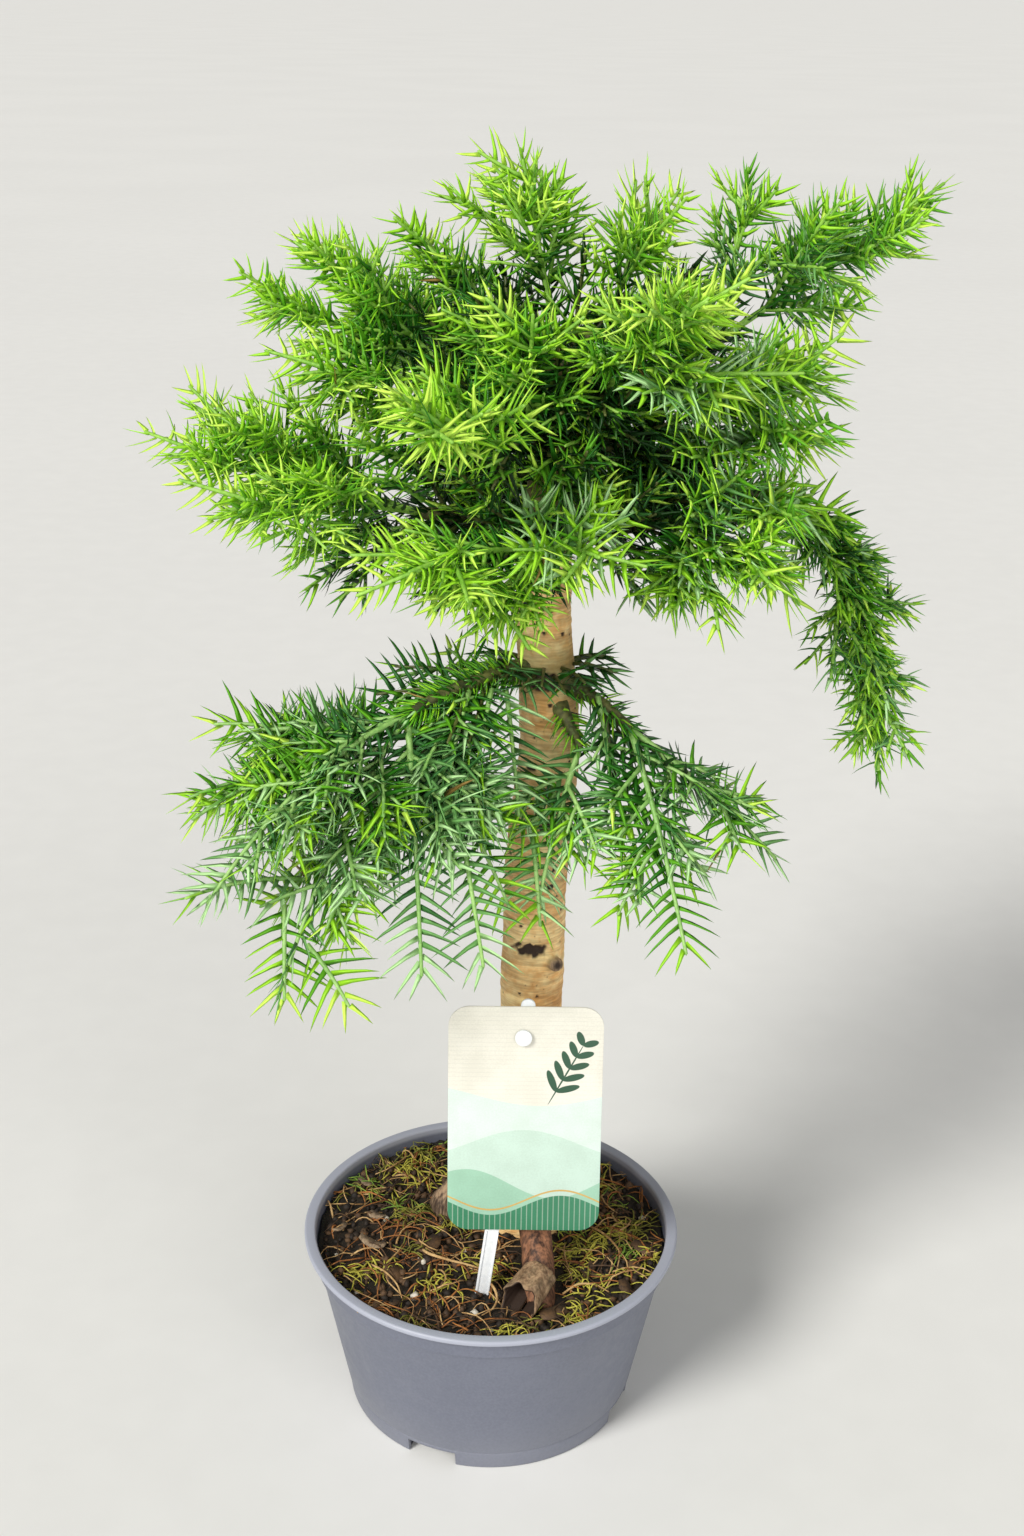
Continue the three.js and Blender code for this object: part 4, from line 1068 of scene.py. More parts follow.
def makeToe():
    # a torn hollow root end, cut so that its mouth looks up and forward
    bpy.ops.mesh.primitive_grid_add(x_subdivisions=toe["around"], y_subdivisions=toe["lengthwise"], size=1)
    obj = bpy.context.object
    obj.name = "rootToe"
    start, end = np.array(toe["start"], dtype=float), np.array(toe["end"], dtype=float)
    way = unit(end - start)
    side = unit(np.cross(way, upward))
    above = np.cross(side, way)
    (broadTear, fineTear), (broadRidge, fineRidge) = toe["tears"], toe["ridges"]
    for vertex in obj.data.vertices:
        turn = math.radians(90 + toe["opening"] * vertex.co.x)
        share = vertex.co.y + 0.5
        reach = toe["cut"] - toe["cutSlope"] * math.sin(turn)
        tears = noise.noise((broadTear * vertex.co.x, 0.2, 3.1)) + math.sin(fineTear * vertex.co.x) * 0.5
        reach += toe["torn"] * tears
        radius = toe["radius"] + (toe["endRadius"] - toe["radius"]) * share
        ridges = noise.noise((broadRidge * vertex.co.x, 0.9 * share, 1.7))
        ridges += 0.5 * noise.noise((fineRidge * vertex.co.x, 1.5 * share, 5.2))
        radius += toe["rough"] * ridges
        place = start + (end - start) * share * (1 + (reach - 1) * share)
        place = place + radius * (side * math.cos(turn) + above * math.sin(turn) * toe["press"])
        vertex.co = Vector(place) * mm
    thicken = obj.modifiers.new("thickness", "SOLIDIFY")
    thicken.thickness = toe["thick"] * mm
    thicken.offset = 0
    applyModifiers(obj)
    bpy.ops.object.mode_set(mode="EDIT")
    bpy.ops.mesh.select_all(action="SELECT")
    bpy.ops.mesh.normals_make_consistent(inside=False)
    bpy.ops.object.mode_set(mode="OBJECT")
    bpy.ops.object.shade_smooth()
    places, normals = readVerts(obj, "co") / mm, readVerts(obj, "normal")
    spine = start + ((places - start) @ way)[:, None] * way
    isInside = ((places - spine) * normals).sum(axis=1) < 0
    # painted shade: faces looking into the hollow are toned dark
    tone = obj.data.attributes.new("woodTone", "FLOAT_COLOR", "POINT")
    tones = np.where(isInside[:, None], toe["inside"], toe["outside"])
    tone.data.foreach_set("color", tones.astype(np.float32).ravel())
    return obj


barkLook = dict(
    pale=(55.0, 330.0, (236, 180, 108), (255, 228, 166)),
    rings=(38.0, 150.0, (120, 86, 50), white), ringSquash=9, ringShare=0.5,
    redRoot=(260.0, 1100.0, (52, 31, 21), (152, 104, 74)), redSquash=0.13,
    greyRoot=(220.0, 1000.0, (62, 46, 34), (172, 144, 114)), greySquash=0.16,
    moss=(98, 104, 50), mossShare=0.8, spot=(92, 60, 34), spotScale=230.0, spotSize=0.13, spotShare=0.6,
    # the dark colour is the scars' and pits' own, and also the painted shade of the stub's hole and the root
    # end's hollow
    hole=(46, 29, 17), holeEdge=(0.1, 0.75), rough=0.72, bump=0.5, bumpHeight=0.0008,
)
limbLook = dict(tones=(90.0, 520.0, (52, 56, 26), (106, 106, 54)), scale=(84, 104, 46), scaleCount=420.0,
                scaleSize=0.42, scaleShare=0.45, rough=0.68, bump=0.4, bumpHeight=0.0006)


def barkMaterial():
    material, tree, shader = newMaterial("paleBark")
    k = barkLook
    where = objectPlace(tree)
    tones = blotches(tree, where, *k["pale"])
    rings = blotches(tree, objectPlace(tree, (1, 1, k["ringSquash"])), *k["rings"])
    redFibre = blotches(tree, objectPlace(tree, (1, 1, k["redSquash"])), *k["redRoot"])
    greyFibre = blotches(tree, objectPlace(tree, (1, 1, k["greySquash"])), *k["greyRoot"])
    tone = tree.nodes.new("ShaderNodeAttribute")
    tone.attribute_name = "woodTone"
    parts = tree.nodes.new("ShaderNodeSeparateColor")
    tree.links.new(tone.outputs["Color"], parts.inputs[0])
    dark, moss, red = parts.outputs
    ringed = mixColours(tree, k["ringShare"], tones["Colour"], rings["Colour"], "MULTIPLY")
    mossy = layOver(tree, ringed, k["moss"], moss, k["mossShare"])
    greyed = mixColours(tree, tone.outputs["Alpha"], mossy, greyFibre["Colour"])
    reddened = mixColours(tree, red, greyed, redFibre["Colour"])
    spots = addGroup(tree, specks, Place=where, Scale=k["spotScale"], Size=k["spotSize"])
    spotted = layOver(tree, reddened, k["spot"], spots["Mask"], k["spotShare"])
    # dark scars and pits, with painted shade in the stub's hole and the root end's hollow
    holed = mixColours(tree, spread(tree, dark, *k["holeEdge"]), spotted, paint(*k["hole"]))
    finishWith(tree, shader, holed, math2(tree, "ADD", rings["Height"], tones["Height"]), k)
    return material


def makeBoughs():
    lines = []
    t = np.linspace(0, 1, wood["tubeSteps"])
    for b in boughs:
        radii = b["radius"] + (b["tipRadius"] - b["radius"]) * t
        fromTrunk = np.linalg.norm(along(b["curve"], t) - b["curve"][0], axis=1) - trunkRadius(b["height"])
        radii = radii + wood["collar"] * np.exp(-np.maximum(fromTrunk, 0) / wood["collarFade"])
        lines.append((along(b["curve"], t), radii))
    obj = drawTubes("boughBark", lines)
    fuse(obj, wood["boughVoxel"])
    places, normals = readVerts(obj, "co") / mm, readVerts(obj, "normal")
    push = wood["limbLump"] * noiseAt(places, wood["limbLumpSize"])
    push += wood["limbGrain"] * noiseAt(places, wood["limbGrainSize"])
    pushOut(obj, places, normals, push)
    pickOnly(obj)
    bpy.ops.object.shade_smooth()
    return obj


def limbMaterial():
    material, tree, shader = newMaterial("limbBark")
    k = limbLook
    where = objectPlace(tree)
    tones = blotches(tree, where, *k["tones"])
    scales = addGroup(tree, specks, Place=where, Scale=k["scaleCount"], Size=k["scaleSize"])
    scaled = layOver(tree, tones["Colour"], k["scale"], scales["Mask"], k["scaleShare"])
    finishWith(tree, shader, scaled, math2(tree, "ADD", tones["Height"], scales["Mask"]), k)
    return material


paleBark = barkMaterial()
trunkBark = makeTrunk()
settle(trunkBark, ["trunk"], [paleBark])
settle(makeToe(), [], [paleBark])
boughBark = makeBoughs()
settle(boughBark, ["bough_" + b["name"] for b in boughs], [limbMaterial()])
print("bark carved,", len(trunkBark.data.polygons), "and", len(boughBark.data.polygons), "faces")


# needles: slim three-edged blades set in a spiral, in plain tints dealt out by spray

needle = dict(
    tipShare=0.58, tipZone=8, spacing=1.8, spacingLow=2.1, firstAt=3.0, smallShare=0.88,
    lengthSpread=(0.82, 1.1), rough=0.42, shine=0.38,
    limbRounds=4, limbRoundsLow=12, limbRoundsBare=4, limbTint=0.34, limbTintLow=0.58, limbCool=0.1,
    limbLength=11, limbLengthLow=9.5,
    lift=68, tipLift=26, liftSpread=16, bend=0.3, bendLow=0.15, droop=0.02, longest=14,
    halfWidth=0.78, halfShare=0.064, halfWidthLow=0.76, halfThick=0.45,
    stations=(0.0, 0.3, 0.74), taper=(1.4, 1.02, 0.62), twist=40, outTurn=0.7,
    flatten=0.42, turnSpread=0.12, rankSpread=0.42, rankSpreadLow=0.28, planeSpread=0.35, faceUp=0.7,
    steep=0.25, seed=4021,
    dryShare=0.0015, tintSpread=0.11, tintSpreadLow=0.06, paleZone=15, paleGain=0.15, tipFreshAndGlowGain=0.26,
    tipPower=1.4,
    outGain=0.36, outMiddle=0.6, oldLoss=0.18, oldLossLow=0.02, stemGain=0.08,
    # needles near the trunk inside the crown are darkened: painted shade
    innerShadeReach=82, innerShadeTop=466, innerShadeBottom=306, innerShadeFade=40, innerShadeLoss=0.44,
)
# the lime tint is fresh growth's colour and also a painted glow and highlight of light through the needle
# tips
needleTints = dict(
    needleDark=(18, 58, 10), needleDeep=(44, 112, 22), needleLeaf=(96, 168, 34), needleFresh=(156, 218, 46),
    needleLimeAndGlow=(206, 248, 92), needleShade=(60, 116, 56), needleCool=(112, 168, 92),
    needlePale=(182, 226, 156), needleDry=(150, 122, 62),
)
coolTint = np.array([0, 5, 6, 7, 3])                 # what the first five greens turn to on a cool shoot
# the tints under a needle are darker: painted shade on the underside
underShadeTint = np.array([0, 0, 1, 2, 3, 0, 5, 6, 8])    # what each tint turns to under a needle
dryTint = 8


def needleMaterials():
    found = []
    for name, colour in needleTints.items():
        material, _, shader = newMaterial(name)
        shader.inputs["Base Color"].default_value = paint(*colour)
        shader.inputs["Roughness"].default_value = needle["rough"]
        shader.inputs["Specular IOR Level"].default_value = needle["shine"]
        found.append(material)
    return found


def crossAxes(ways):
    # two directions square to each way, turned as little as possible along it
    chord = unit(ways.sum(axis=0))
    fixed = np.eye(3)[np.argmin(np.abs(chord))]
    side = unit(np.cross(ways, fixed))
    return side, np.cross(side, ways)


def featherSide(rng, foot, way):
    # the direction that a shoot's needles spread to, so that its flat face looks up and out
    out = unit((foot[len(foot) // 2] - trunkAxis(trunk["soil"])) * (1, 1, 0))
    face = unit(out + needle["faceUp"] * upward)
    lead = way[len(way) // 2]
    across = np.cross(lead, face)
    if np.linalg.norm(across) < needle["steep"]:
        across = np.cross(out, upward)
    roll = rng.normal(0, needle["planeSpread"])
    across = unit(across) * math.cos(roll) + np.cross(lead, unit(across)) * math.sin(roll)
    return unit(across - (way @ across)[:, None] * way)


def needlesAlong(rng, curve, startAt, core, tint, cool, size, ranked=False, plain=False):
    # the corner places and the tint of each needle on one shoot
    n = needle
    _, total = shareAt(curve, 1.0)
    isLong = size > n["longest"]
    at = np.arange(startAt, total, n["spacingLow"] if isLong else n["spacing"])
    if not len(at):
        return None
    t, _ = shareAt(curve, at / total)
    foot = along(curve, t)
    way = heading(curve, t)
    side = featherSide(rng, foot, way)
    other = np.cross(way, side)
    order = np.arange(len(at))
    if ranked:  # two rows, left and right of the shoot
        turn = np.pi * (order % 2) + rng.normal(0, n["rankSpreadLow" if isLong else "rankSpread"], len(at))
    else:       # a spiral pressed a little flat
        turn = goldenAngle * order + rng.uniform(0, roundTurn)
        turn = turn - n["flatten"] * np.sin(2 * turn) + rng.normal(0, n["turnSpread"], len(at))
    out = side * np.cos(turn)[:, None] + other * np.sin(turn)[:, None]
    young = np.clip(1 - (total - at) / n["tipZone"], 0, 1)
    lift = n["lift"] + (n["tipLift"] - n["lift"]) * young + rng.uniform(-0.5, 0.5, len(at)) * n["liftSpread"]
    lift = np.radians(lift)
    length = size * (1 + (n["tipShare"] - 1) * young) * rng.uniform(*n["lengthSpread"], len(at))
    lead = out * np.sin(lift)[:, None] + way * np.cos(lift)[:, None]
    bend = way * n["bendLow" if isLong else "bend"] - upward * n["droop"]
    wide = np.cross(way, out)
    thick = np.cross(lead, wide)
    spin = rng.uniform(-1, 1, len(at)) * n["twist"] + (90 if ranked else 0)
    spin = np.radians(spin)[:, None]
    wide, thick = wide * np.cos(spin) + thick * np.sin(spin), thick * np.cos(spin) - wide * np.sin(spin)
    foot = foot + out * core * 0.5
    axis = trunkAxis(np.minimum(foot[:, 2], trunk["tipHeight"]))
    away = foot - axis
    sky = upward + n["outTurn"] * unit(away * (1, 1, 0))
    facing = np.where((thick * sky).sum(axis=1) < 0, -1.0, 1.0)[:, None]  # the light side looks up and out
    half = n["halfWidthLow"] if isLong else min(n["halfWidth"], n["halfShare"] * size)
    edges = (wide * facing * half, -wide * facing * half, -thick * facing * n["halfThick"])
    corners = np.empty((len(at), len(edges) * len(n["stations"]) + 1, 3))
    for j, (station, width) in enumerate(zip(n["stations"], n["taper"])):
        centre = foot + length[:, None] * (lead * station + bend * station * station)
        for k, offset in enumerate(edges):
            corners[:, len(edges) * j + k] = centre + offset * width
    corners[:, -1] = foot + length[:, None] * (lead + bend)
    # painted shade: needles close to the trunk in the crown's middle heights are darker
    inner = np.clip(1 - np.linalg.norm(away, axis=1) / n["innerShadeReach"], 0, 1)
    inner *= np.clip((n["innerShadeTop"] - foot[:, 2]) / n["innerShadeFade"], 0, 1)
    inner *= np.clip((foot[:, 2] - n["innerShadeBottom"]) / n["innerShadeFade"], 0, 1)
    pale = np.clip(1 - (total - at) / n["paleZone"], 0, 1)
    score = tint - n["innerShadeLoss"] * inner
    score += rng.normal(0, n["tintSpreadLow" if ranked else "tintSpread"], len(at))
    # paler toward the tip of a young shoot: fresh growth, and a painted glow of light through the tips
    if not plain:  # paler toward the tip of a young shoot
        score += n["tipFreshAndGlowGain"] * (at / total) ** n["tipPower"] + n["paleGain"] * pale
    greens = len(coolTint)
    mark = np.clip((score * greens).astype(int), 0, greens - 1)
    if rng.random() < cool:
        mark = coolTint[mark]
    mark = np.where(rng.random(len(at)) < n["dryShare"], dryTint, mark)
    return corners, mark


def needleFaces():
    # corner rows of one needle's faces, and which of them lie underneath and get the painted shade
    rings, sides = len(needle["stations"]), 3
    faces, under = [(0, 2, 1)], [True]
    for j in range(rings):
        for k in range(sides):
            a, b = sides * j + k, sides * j + (k + 1) % sides
            if j + 1 < rings:
                faces += [(a, b, b + sides), (a, b + sides, a + sides)]
                under += [k > 0, k > 0]
            else:
                faces.append((a, b, sides * rings))
                under.append(k > 0)
    return np.array(faces), np.array(under, dtype=bool)


def joinNeedles(name, batches, materials, nodes):
    faces, under = needleFaces()
    corners = np.concatenate([b[0] for b in batches])
    marks = np.concatenate([b[1] for b in batches])
    count, each = corners.shape[:2]
    rows = (faces[None] + each * np.arange(count)[:, None, None]).reshape(-1, 3)
    # faces underneath take the darker tint, a painted shade
    tints = np.where(under[None], underShadeTint[marks][:, None], marks[:, None]).ravel()
    settle(meshFromArrays(name, corners.reshape(-1, 3), rows), nodes, materials, tints)
    print(name, count, "needles,", len(rows), "triangles")


# which boughs go into which piece of needles
needleGroups = dict(
    needlesLowLeft=["low_left"],
    needlesLowRight=["low_right", "low_front"],
    needlesLeft=["left", "left_back", "upper_left", "back_left"],
    needlesFront=["front_low", "front_left", "front_right"],
    needlesRight=["right_low", "right", "right_back", "right_far"],
    needlesTop=["back_low", "back_right", "top_left", "top_right"],
)
leaderWith = "top_right"    # the leader's needles are counted with this bough's


def shootTint(s, shoot):
    # lighter toward the spray's tip and on its stem, darker on old shoots
    span = np.linalg.norm(shoot["curve"][0] - s["base"]) / np.linalg.norm(s["curve"][2] - s["base"])
    tint = s["tint"] + needle["outGain"] * (min(span, 1.0) - needle["outMiddle"])
    if shoot.get("old"):
        return tint - needle["oldLossLow" if isLow(s) else "oldLoss"]
    return tint + needle["stemGain"] * (shoot["level"] == 0)


def limbNeedles(rng, b):
    end = "Low" if isLow(b["sprays"][0]) else ""
    rounds = needle["limbRoundsBare" if isShort(b) else "limbRounds" + end]
    bare = trunkRadius(b["height"]) + 1
    return [needlesAlong(rng, b["curve"], bare, b["tipRadius"], needle["limbTint" + end], needle["limbCool"],
                         needle["limbLength" + end], plain=True) for _ in range(rounds)]


def sprayNeedles(rng, s):
    found = []
    for shoot in (g for g in shoots if g["spray"] is s):
        isOld = bool(shoot.get("old"))
        size = s["needle"] * (1.0 if shoot["level"] < 3 else needle["smallShare"])
        ranked = s["ranked"] and (isLow(s) or not isOld)
        batch = needlesAlong(rng, shoot["curve"], needle["firstAt"], 1.0, shootTint(s, shoot), s["cool"],
                             size, ranked, plain=isOld)
        if batch:
            found.append(batch)
    return found


def makeNeedles():
    rng = np.random.default_rng(needle["seed"])
    materials = needleMaterials()
    for name, members in needleGroups.items():
        batches, nodes = [], []
        for b in (b for b in boughs if b["name"] in members):
            batches += limbNeedles(rng, b)
            for s in [*b["sprays"], leader] if b["name"] == leaderWith else b["sprays"]:
                nodes.append("spray_" + s["name"])
                batches += sprayNeedles(rng, s)
        joinNeedles(name, batches, materials, nodes)


makeNeedles()


# twigs: thin green shoots under the needles

# radii at foot and tip for stems, main shoots, finer ones and small twigs
twig = dict(sides=5, step=5.0, radii=[(1.3, 0.65), (1.0, 0.6), (0.9, 0.55), (0.8, 0.5)],
            scales=(60.0, 700.0), rough=0.5)


def tubeArrays(points, radii, sides):
    way = unit(np.gradient(points, axis=0))
    side, other = crossAxes(way)
    turn = 2 * np.pi * np.arange(sides) / sides
    rings = (points[:, None] + radii[:, None, None]
             * (side[:, None] * np.cos(turn)[None, :, None] + other[:, None] * np.sin(turn)[None, :, None]))
    places = np.concatenate((rings.reshape(-1, 3), points[:1], points[-1:] + way[-1:] * radii[-1]))
    rows = []
    last = len(points) * sides
    for i in range(len(points) - 1):
        for j in range(sides):
            a, b = i * sides + j, i * sides + (j + 1) % sides
            rows += [(a, b, b + sides), (a, b + sides, a + sides)]
    for j in range(sides):
        k = (j + 1) % sides
        rows += [(k, j, last), (last - sides + j, last - sides + k, last + 1)]
    # side, other and the way along are left-handed here, so the rows are turned round
    return places, np.array(rows)[:, ::-1]


def joinArrays(name, parts, marks, materials):
    places, rows, tints, count = [], [], [], 0
    for (points, faces), mark in zip(parts, marks):
        places.append(points)
        rows.append(faces + count)
        tints.append(np.full(len(faces), mark))
        count += len(points)
    piece = meshFromArrays(name, np.concatenate(places), np.concatenate(rows))
    pickOnly(piece)
    bpy.ops.object.shade_smooth()
    settle(piece, [], materials, np.concatenate(tints))
    return piece


# dark and light tone of young twigs, old ones and those of the lower sprays
twigTones = dict(
    twigGreen=((112, 168, 50), (158, 206, 86)),
    twigOld=((66, 78, 34), (96, 102, 48)),
    twigPale=((116, 166, 80), (160, 200, 116)),
)


def twigTint(shoot):
    if shoot.get("old"):
        return "twigOld"
    return "twigPale" if isLow(shoot["spray"]) else "twigGreen"


def makeTwigs():
    tubes, marks = [], []
    kinds = list(twigTones)
    for shoot in shoots:
        _, total = shareAt(shoot["curve"], 1.0)
        t, _ = shareAt(shoot["curve"], np.linspace(0, 1, max(3, round(total / twig["step"]) + 1)))
        foot, tip = twig["radii"][shoot["level"]]
        tubes.append(tubeArrays(along(shoot["curve"], t), np.interp(t, (0, 1), (foot, tip)), twig["sides"]))
        marks.append(kinds.index(twigTint(shoot)))
    materials = [mottledMaterial(name, *twig["scales"], *tones, twig["rough"])
                 for name, tones in twigTones.items()]
    piece = joinArrays("twigs", tubes, marks, materials)
    print("twigs", len(tubes), "shoots,", len(piece.data.polygons), "triangles")


makeTwigs()


# soil: a slab with a crumbly top, under moss, rootlets, crumbs and bark flakes

soil = dict(top=66.7, radius=69.8, footRadius=64, depth=9, voxel=1.15, edgeDrop=-2.2, edgePower=5,
            broad=1.1, broadSize=22, crumb=1.0, crumbSize=5.0, fine=0.5, fineSize=1.9, sides=128)
peat = dict(tones=(110.0, 900.0, (7, 5, 3), (36, 25, 16)),
            patches=(52.0, 300.0, black, white), patch=(50, 46, 18), patchShare=0.2,
            fibreCount=620.0, fibreSize=0.24, fibre=(84, 58, 34), fibreShare=0.5,
            rough=0.93, bump=0.8, bumpHeight=0.0016)
litter = dict(
    seed=918, spread=67, clear=8, steps=6, sides=4, scales=(130.0, 900.0), rough=0.75,
    threadAt=(0, 0.2, 1), threadTaper=(0.8, 1, 0.45), riseTo=0.9, over=0.1, wiggle=0.12, turnBack=0.8,
    clumps=62, clumpRadius=6.5, mossShares=[0.42, 0.36, 0.22],
    strands=(9, 17), strandLength=(6, 15), strandRadius=(0.26, 0.46), strandLift=(0.6, 3.2), strandCurl=0.35,
    straws=430, strawLength=(9, 30), strawRadius=(0.22, 0.5), strawLift=(0.5, 3.4), strawCurl=0.3,
    strawShares=[0.3, 0.42, 0.28],
    crumbs=1100, crumbSize=(0.6, 2.0), crumbSquash=(0.6, 1.25), crumbRough=(0.75, 1.2), crumbRise=0.25,
    darkShare=0.55, pale=16,
    flakes=14, flakeLength=(5, 11), flakeWidth=(0.2, 0.36), flakeThick=0.5, flakeTilt=(-0.2, 0.35),
    flakeCurl=(0.2, 0.9), flakeRagged=(0.8, 1.1), flakeRise=0.6, greyShare=0.6,
)
litterTones = dict(
    strawTan=((150, 112, 66), (206, 172, 118)),
    strawRust=((112, 66, 30), (172, 112, 54)),
    strawDark=((50, 34, 20), (92, 66, 40)),
    mossYellow=((142, 136, 44), (196, 190, 76)),
    mossOlive=((92, 92, 30), (140, 138, 52)),
    mossGreen=((84, 116, 36), (136, 164, 58)),
    crumbDark=((20, 14, 9), (46, 33, 21)),
    crumbBrown=((54, 38, 24), (98, 72, 46)),
    flakeGrey=((98, 80, 62), (162, 140, 112)),
    paleBit=((176, 168, 152), (224, 218, 206)),
)
curls = [
    # a few larger rootlets drawn one by one: radius, then places with their height over the soil
    (0.75, [(-27, -13, 3), (-25, -17, 3.5), (-18, -19, 3), (-9, -21, 2.5), (-4, -22, 1.5), (2, -24, 0.5)]),
    (0.65, [(-1, -33, 4.5), (2, -38, 4), (3, -43, 3), (1, -48, 1.5), (-3, -50, 0.5)]),
    (0.6, [(28, -38, 1), (34, -33, 2.5), (41, -32, 2), (46, -36, 1)]),
    (0.55, [(-48, -20, 1), (-41, -26, 2.5), (-36, -34, 2.5), (-34, -41, 1)]),
    (0.6, [(40, 6, 1), (46, -2, 3), (52, -12, 2), (50, -22, 1)]),
]


def soilHeight(x, y):
    broad = noise.noise((x / soil["broadSize"], y / soil["broadSize"], 0.3)) * soil["broad"]
    crumb = noise.noise((x / soil["crumbSize"], y / soil["crumbSize"], 4.1)) * soil["crumb"]
    edge = soil["edgeDrop"] * (math.hypot(x, y) / soil["radius"]) ** soil["edgePower"]
    return soil["top"] + broad + crumb - edge


def makeSoil():
    middle = soil["top"] - soil["depth"] / 2
    bpy.ops.mesh.primitive_cone_add(vertices=soil["sides"], radius1=soil["footRadius"] * mm,
                                    radius2=soil["radius"] * mm, depth=soil["depth"] * mm,
                                    location=(0, 0, middle * mm))
    obj = bpy.context.object
    obj.name = "soilBed"
    bpy.ops.object.transform_apply(location=True, rotation=True, scale=True)
    remesh = obj.modifiers.new("grain", "REMESH")
    remesh.mode = "VOXEL"
    remesh.voxel_size = soil["voxel"] * mm
    applyModifiers(obj)
    for vertex in obj.data.vertices:
        x, y, z = vertex.co / mm
        if z > middle:
            size = soil["fineSize"]
            fine = soil["fine"] * noise.noise((x / size, y / size, z / size))
            vertex.co.z += (soilHeight(x, y) - soil["top"] + fine) * mm
    bpy.ops.object.shade_smooth()
    return obj


def soilMaterial():
    material, tree, shader = newMaterial("peat")
    where = objectPlace(tree)
    tones = blotches(tree, where, *peat["tones"])
    fibres = addGroup(tree, specks, Place=where, Scale=peat["fibreCount"], Size=peat["fibreSize"])
    patches = blotches(tree, where, *peat["patches"])
    mossed = layOver(tree, tones["Colour"], peat["patch"], patches["Colour"], peat["patchShare"])
    fibred = layOver(tree, mossed, peat["fibre"], fibres["Mask"], peat["fibreShare"])
    finishWith(tree, shader, fibred, tones["Height"], peat)
    return material


def freeSpot(rng):
    # a place on the soil clear of the trunk, its roots and the stake
    lines = [along(rootCurve(root), np.linspace(0, 1, 9))[:, :2] for root in roots]
    while True:
        away, turn = litter["spread"] * math.sqrt(rng.random()), rng.uniform(0, 2 * math.pi)
        spot = np.array((away * math.cos(turn), away * math.sin(turn)))
        if np.linalg.norm(spot - (trunk["x"], trunk["y"])) < trunk["footRadius"] + trunk["flare"]:
            continue
        if min(np.linalg.norm(line - spot, axis=1).min() for line in lines) > litter["clear"]:
            return spot


def strandLine(rng, spot, length, lift, curl):
    # a thin curling line that lies on the soil and rises a little in its middle
    steps = litter["steps"]
    way = rng.uniform(0, 2 * math.pi)
    bend = rng.normal(0, curl)
    points = []
    x, y = spot
    for i in range(steps):
        share = i / (steps - 1)
        if math.hypot(x, y) > soil["radius"] - 1:
            way += math.pi * litter["turnBack"]
        height = soilHeight(x, y) + lift * math.sin(math.pi * share * litter["riseTo"]) + litter["over"]
        points.append((x, y, height))
        way += bend + rng.normal(0, litter["wiggle"])
        x += math.cos(way) * length / steps
        y += math.sin(way) * length / steps
    return np.array(points)


def lumpArrays(rng, centre, size):
    # a crumb from an icosahedron of about unit radius, squashed at random
    g = (1 + 5 ** 0.5) / 2
    corners = np.array([(-1, g, 0), (1, g, 0), (-1, -g, 0), (1, -g, 0), (0, -1, g), (0, 1, g), (0, -1, -g),
                        (0, 1, -g), (g, 0, -1), (g, 0, 1), (-g, 0, -1), (-g, 0, 1)]) / 1.9
    rows = np.array([(0, 11, 5), (0, 5, 1), (0, 1, 7), (0, 7, 10), (0, 10, 11), (1, 5, 9), (5, 11, 4),
                     (11, 10, 2), (10, 7, 6), (7, 1, 8), (3, 9, 4), (3, 4, 2), (3, 2, 6), (3, 6, 8),
                     (3, 8, 9), (4, 9, 5), (2, 4, 11), (6, 2, 10), (8, 6, 7), (9, 8, 1)])
    scale = size * rng.uniform(*litter["crumbSquash"], 3)
    return centre + corners * rng.uniform(*litter["crumbRough"], (12, 1)) * scale, rows


def flakeArrays(rng, centre, length):
    # a curled strip of bark with some thickness
    count, half, thick = 5, length * rng.uniform(*litter["flakeWidth"]), litter["flakeThick"]
    way = rng.uniform(0, roundTurn)
    tilt = rng.uniform(*litter["flakeTilt"])
    curl = rng.uniform(*litter["flakeCurl"])
    ahead = np.array((math.cos(way), math.sin(way), tilt))
    side = np.array((-math.sin(way), math.cos(way), 0))
    places = []
    for i in range(count):
        share = i / (count - 1) - 0.5
        middle = centre + ahead * length * share + upward * curl * length * share * share
        width = half * (1 - 1.6 * share * share) * rng.uniform(*litter["flakeRagged"])
        for across, up in ((-1, 0), (1, 0), (1, thick), (-1, thick)):
            places.append(middle + side * width * across + upward * (up + 0.25 * width))
    rows = []
    for i in range(count - 1):
        for k in range(4):
            a, b = 4 * i + k, 4 * i + (k + 1) % 4
            rows += [(a, b + 4, b), (a, a + 4, b + 4)]
    last = 4 * (count - 1)
    rows += [(0, 1, 2), (0, 2, 3), (last, last + 2, last + 1), (last, last + 3, last + 2)]
    return np.array(places), np.array(rows)


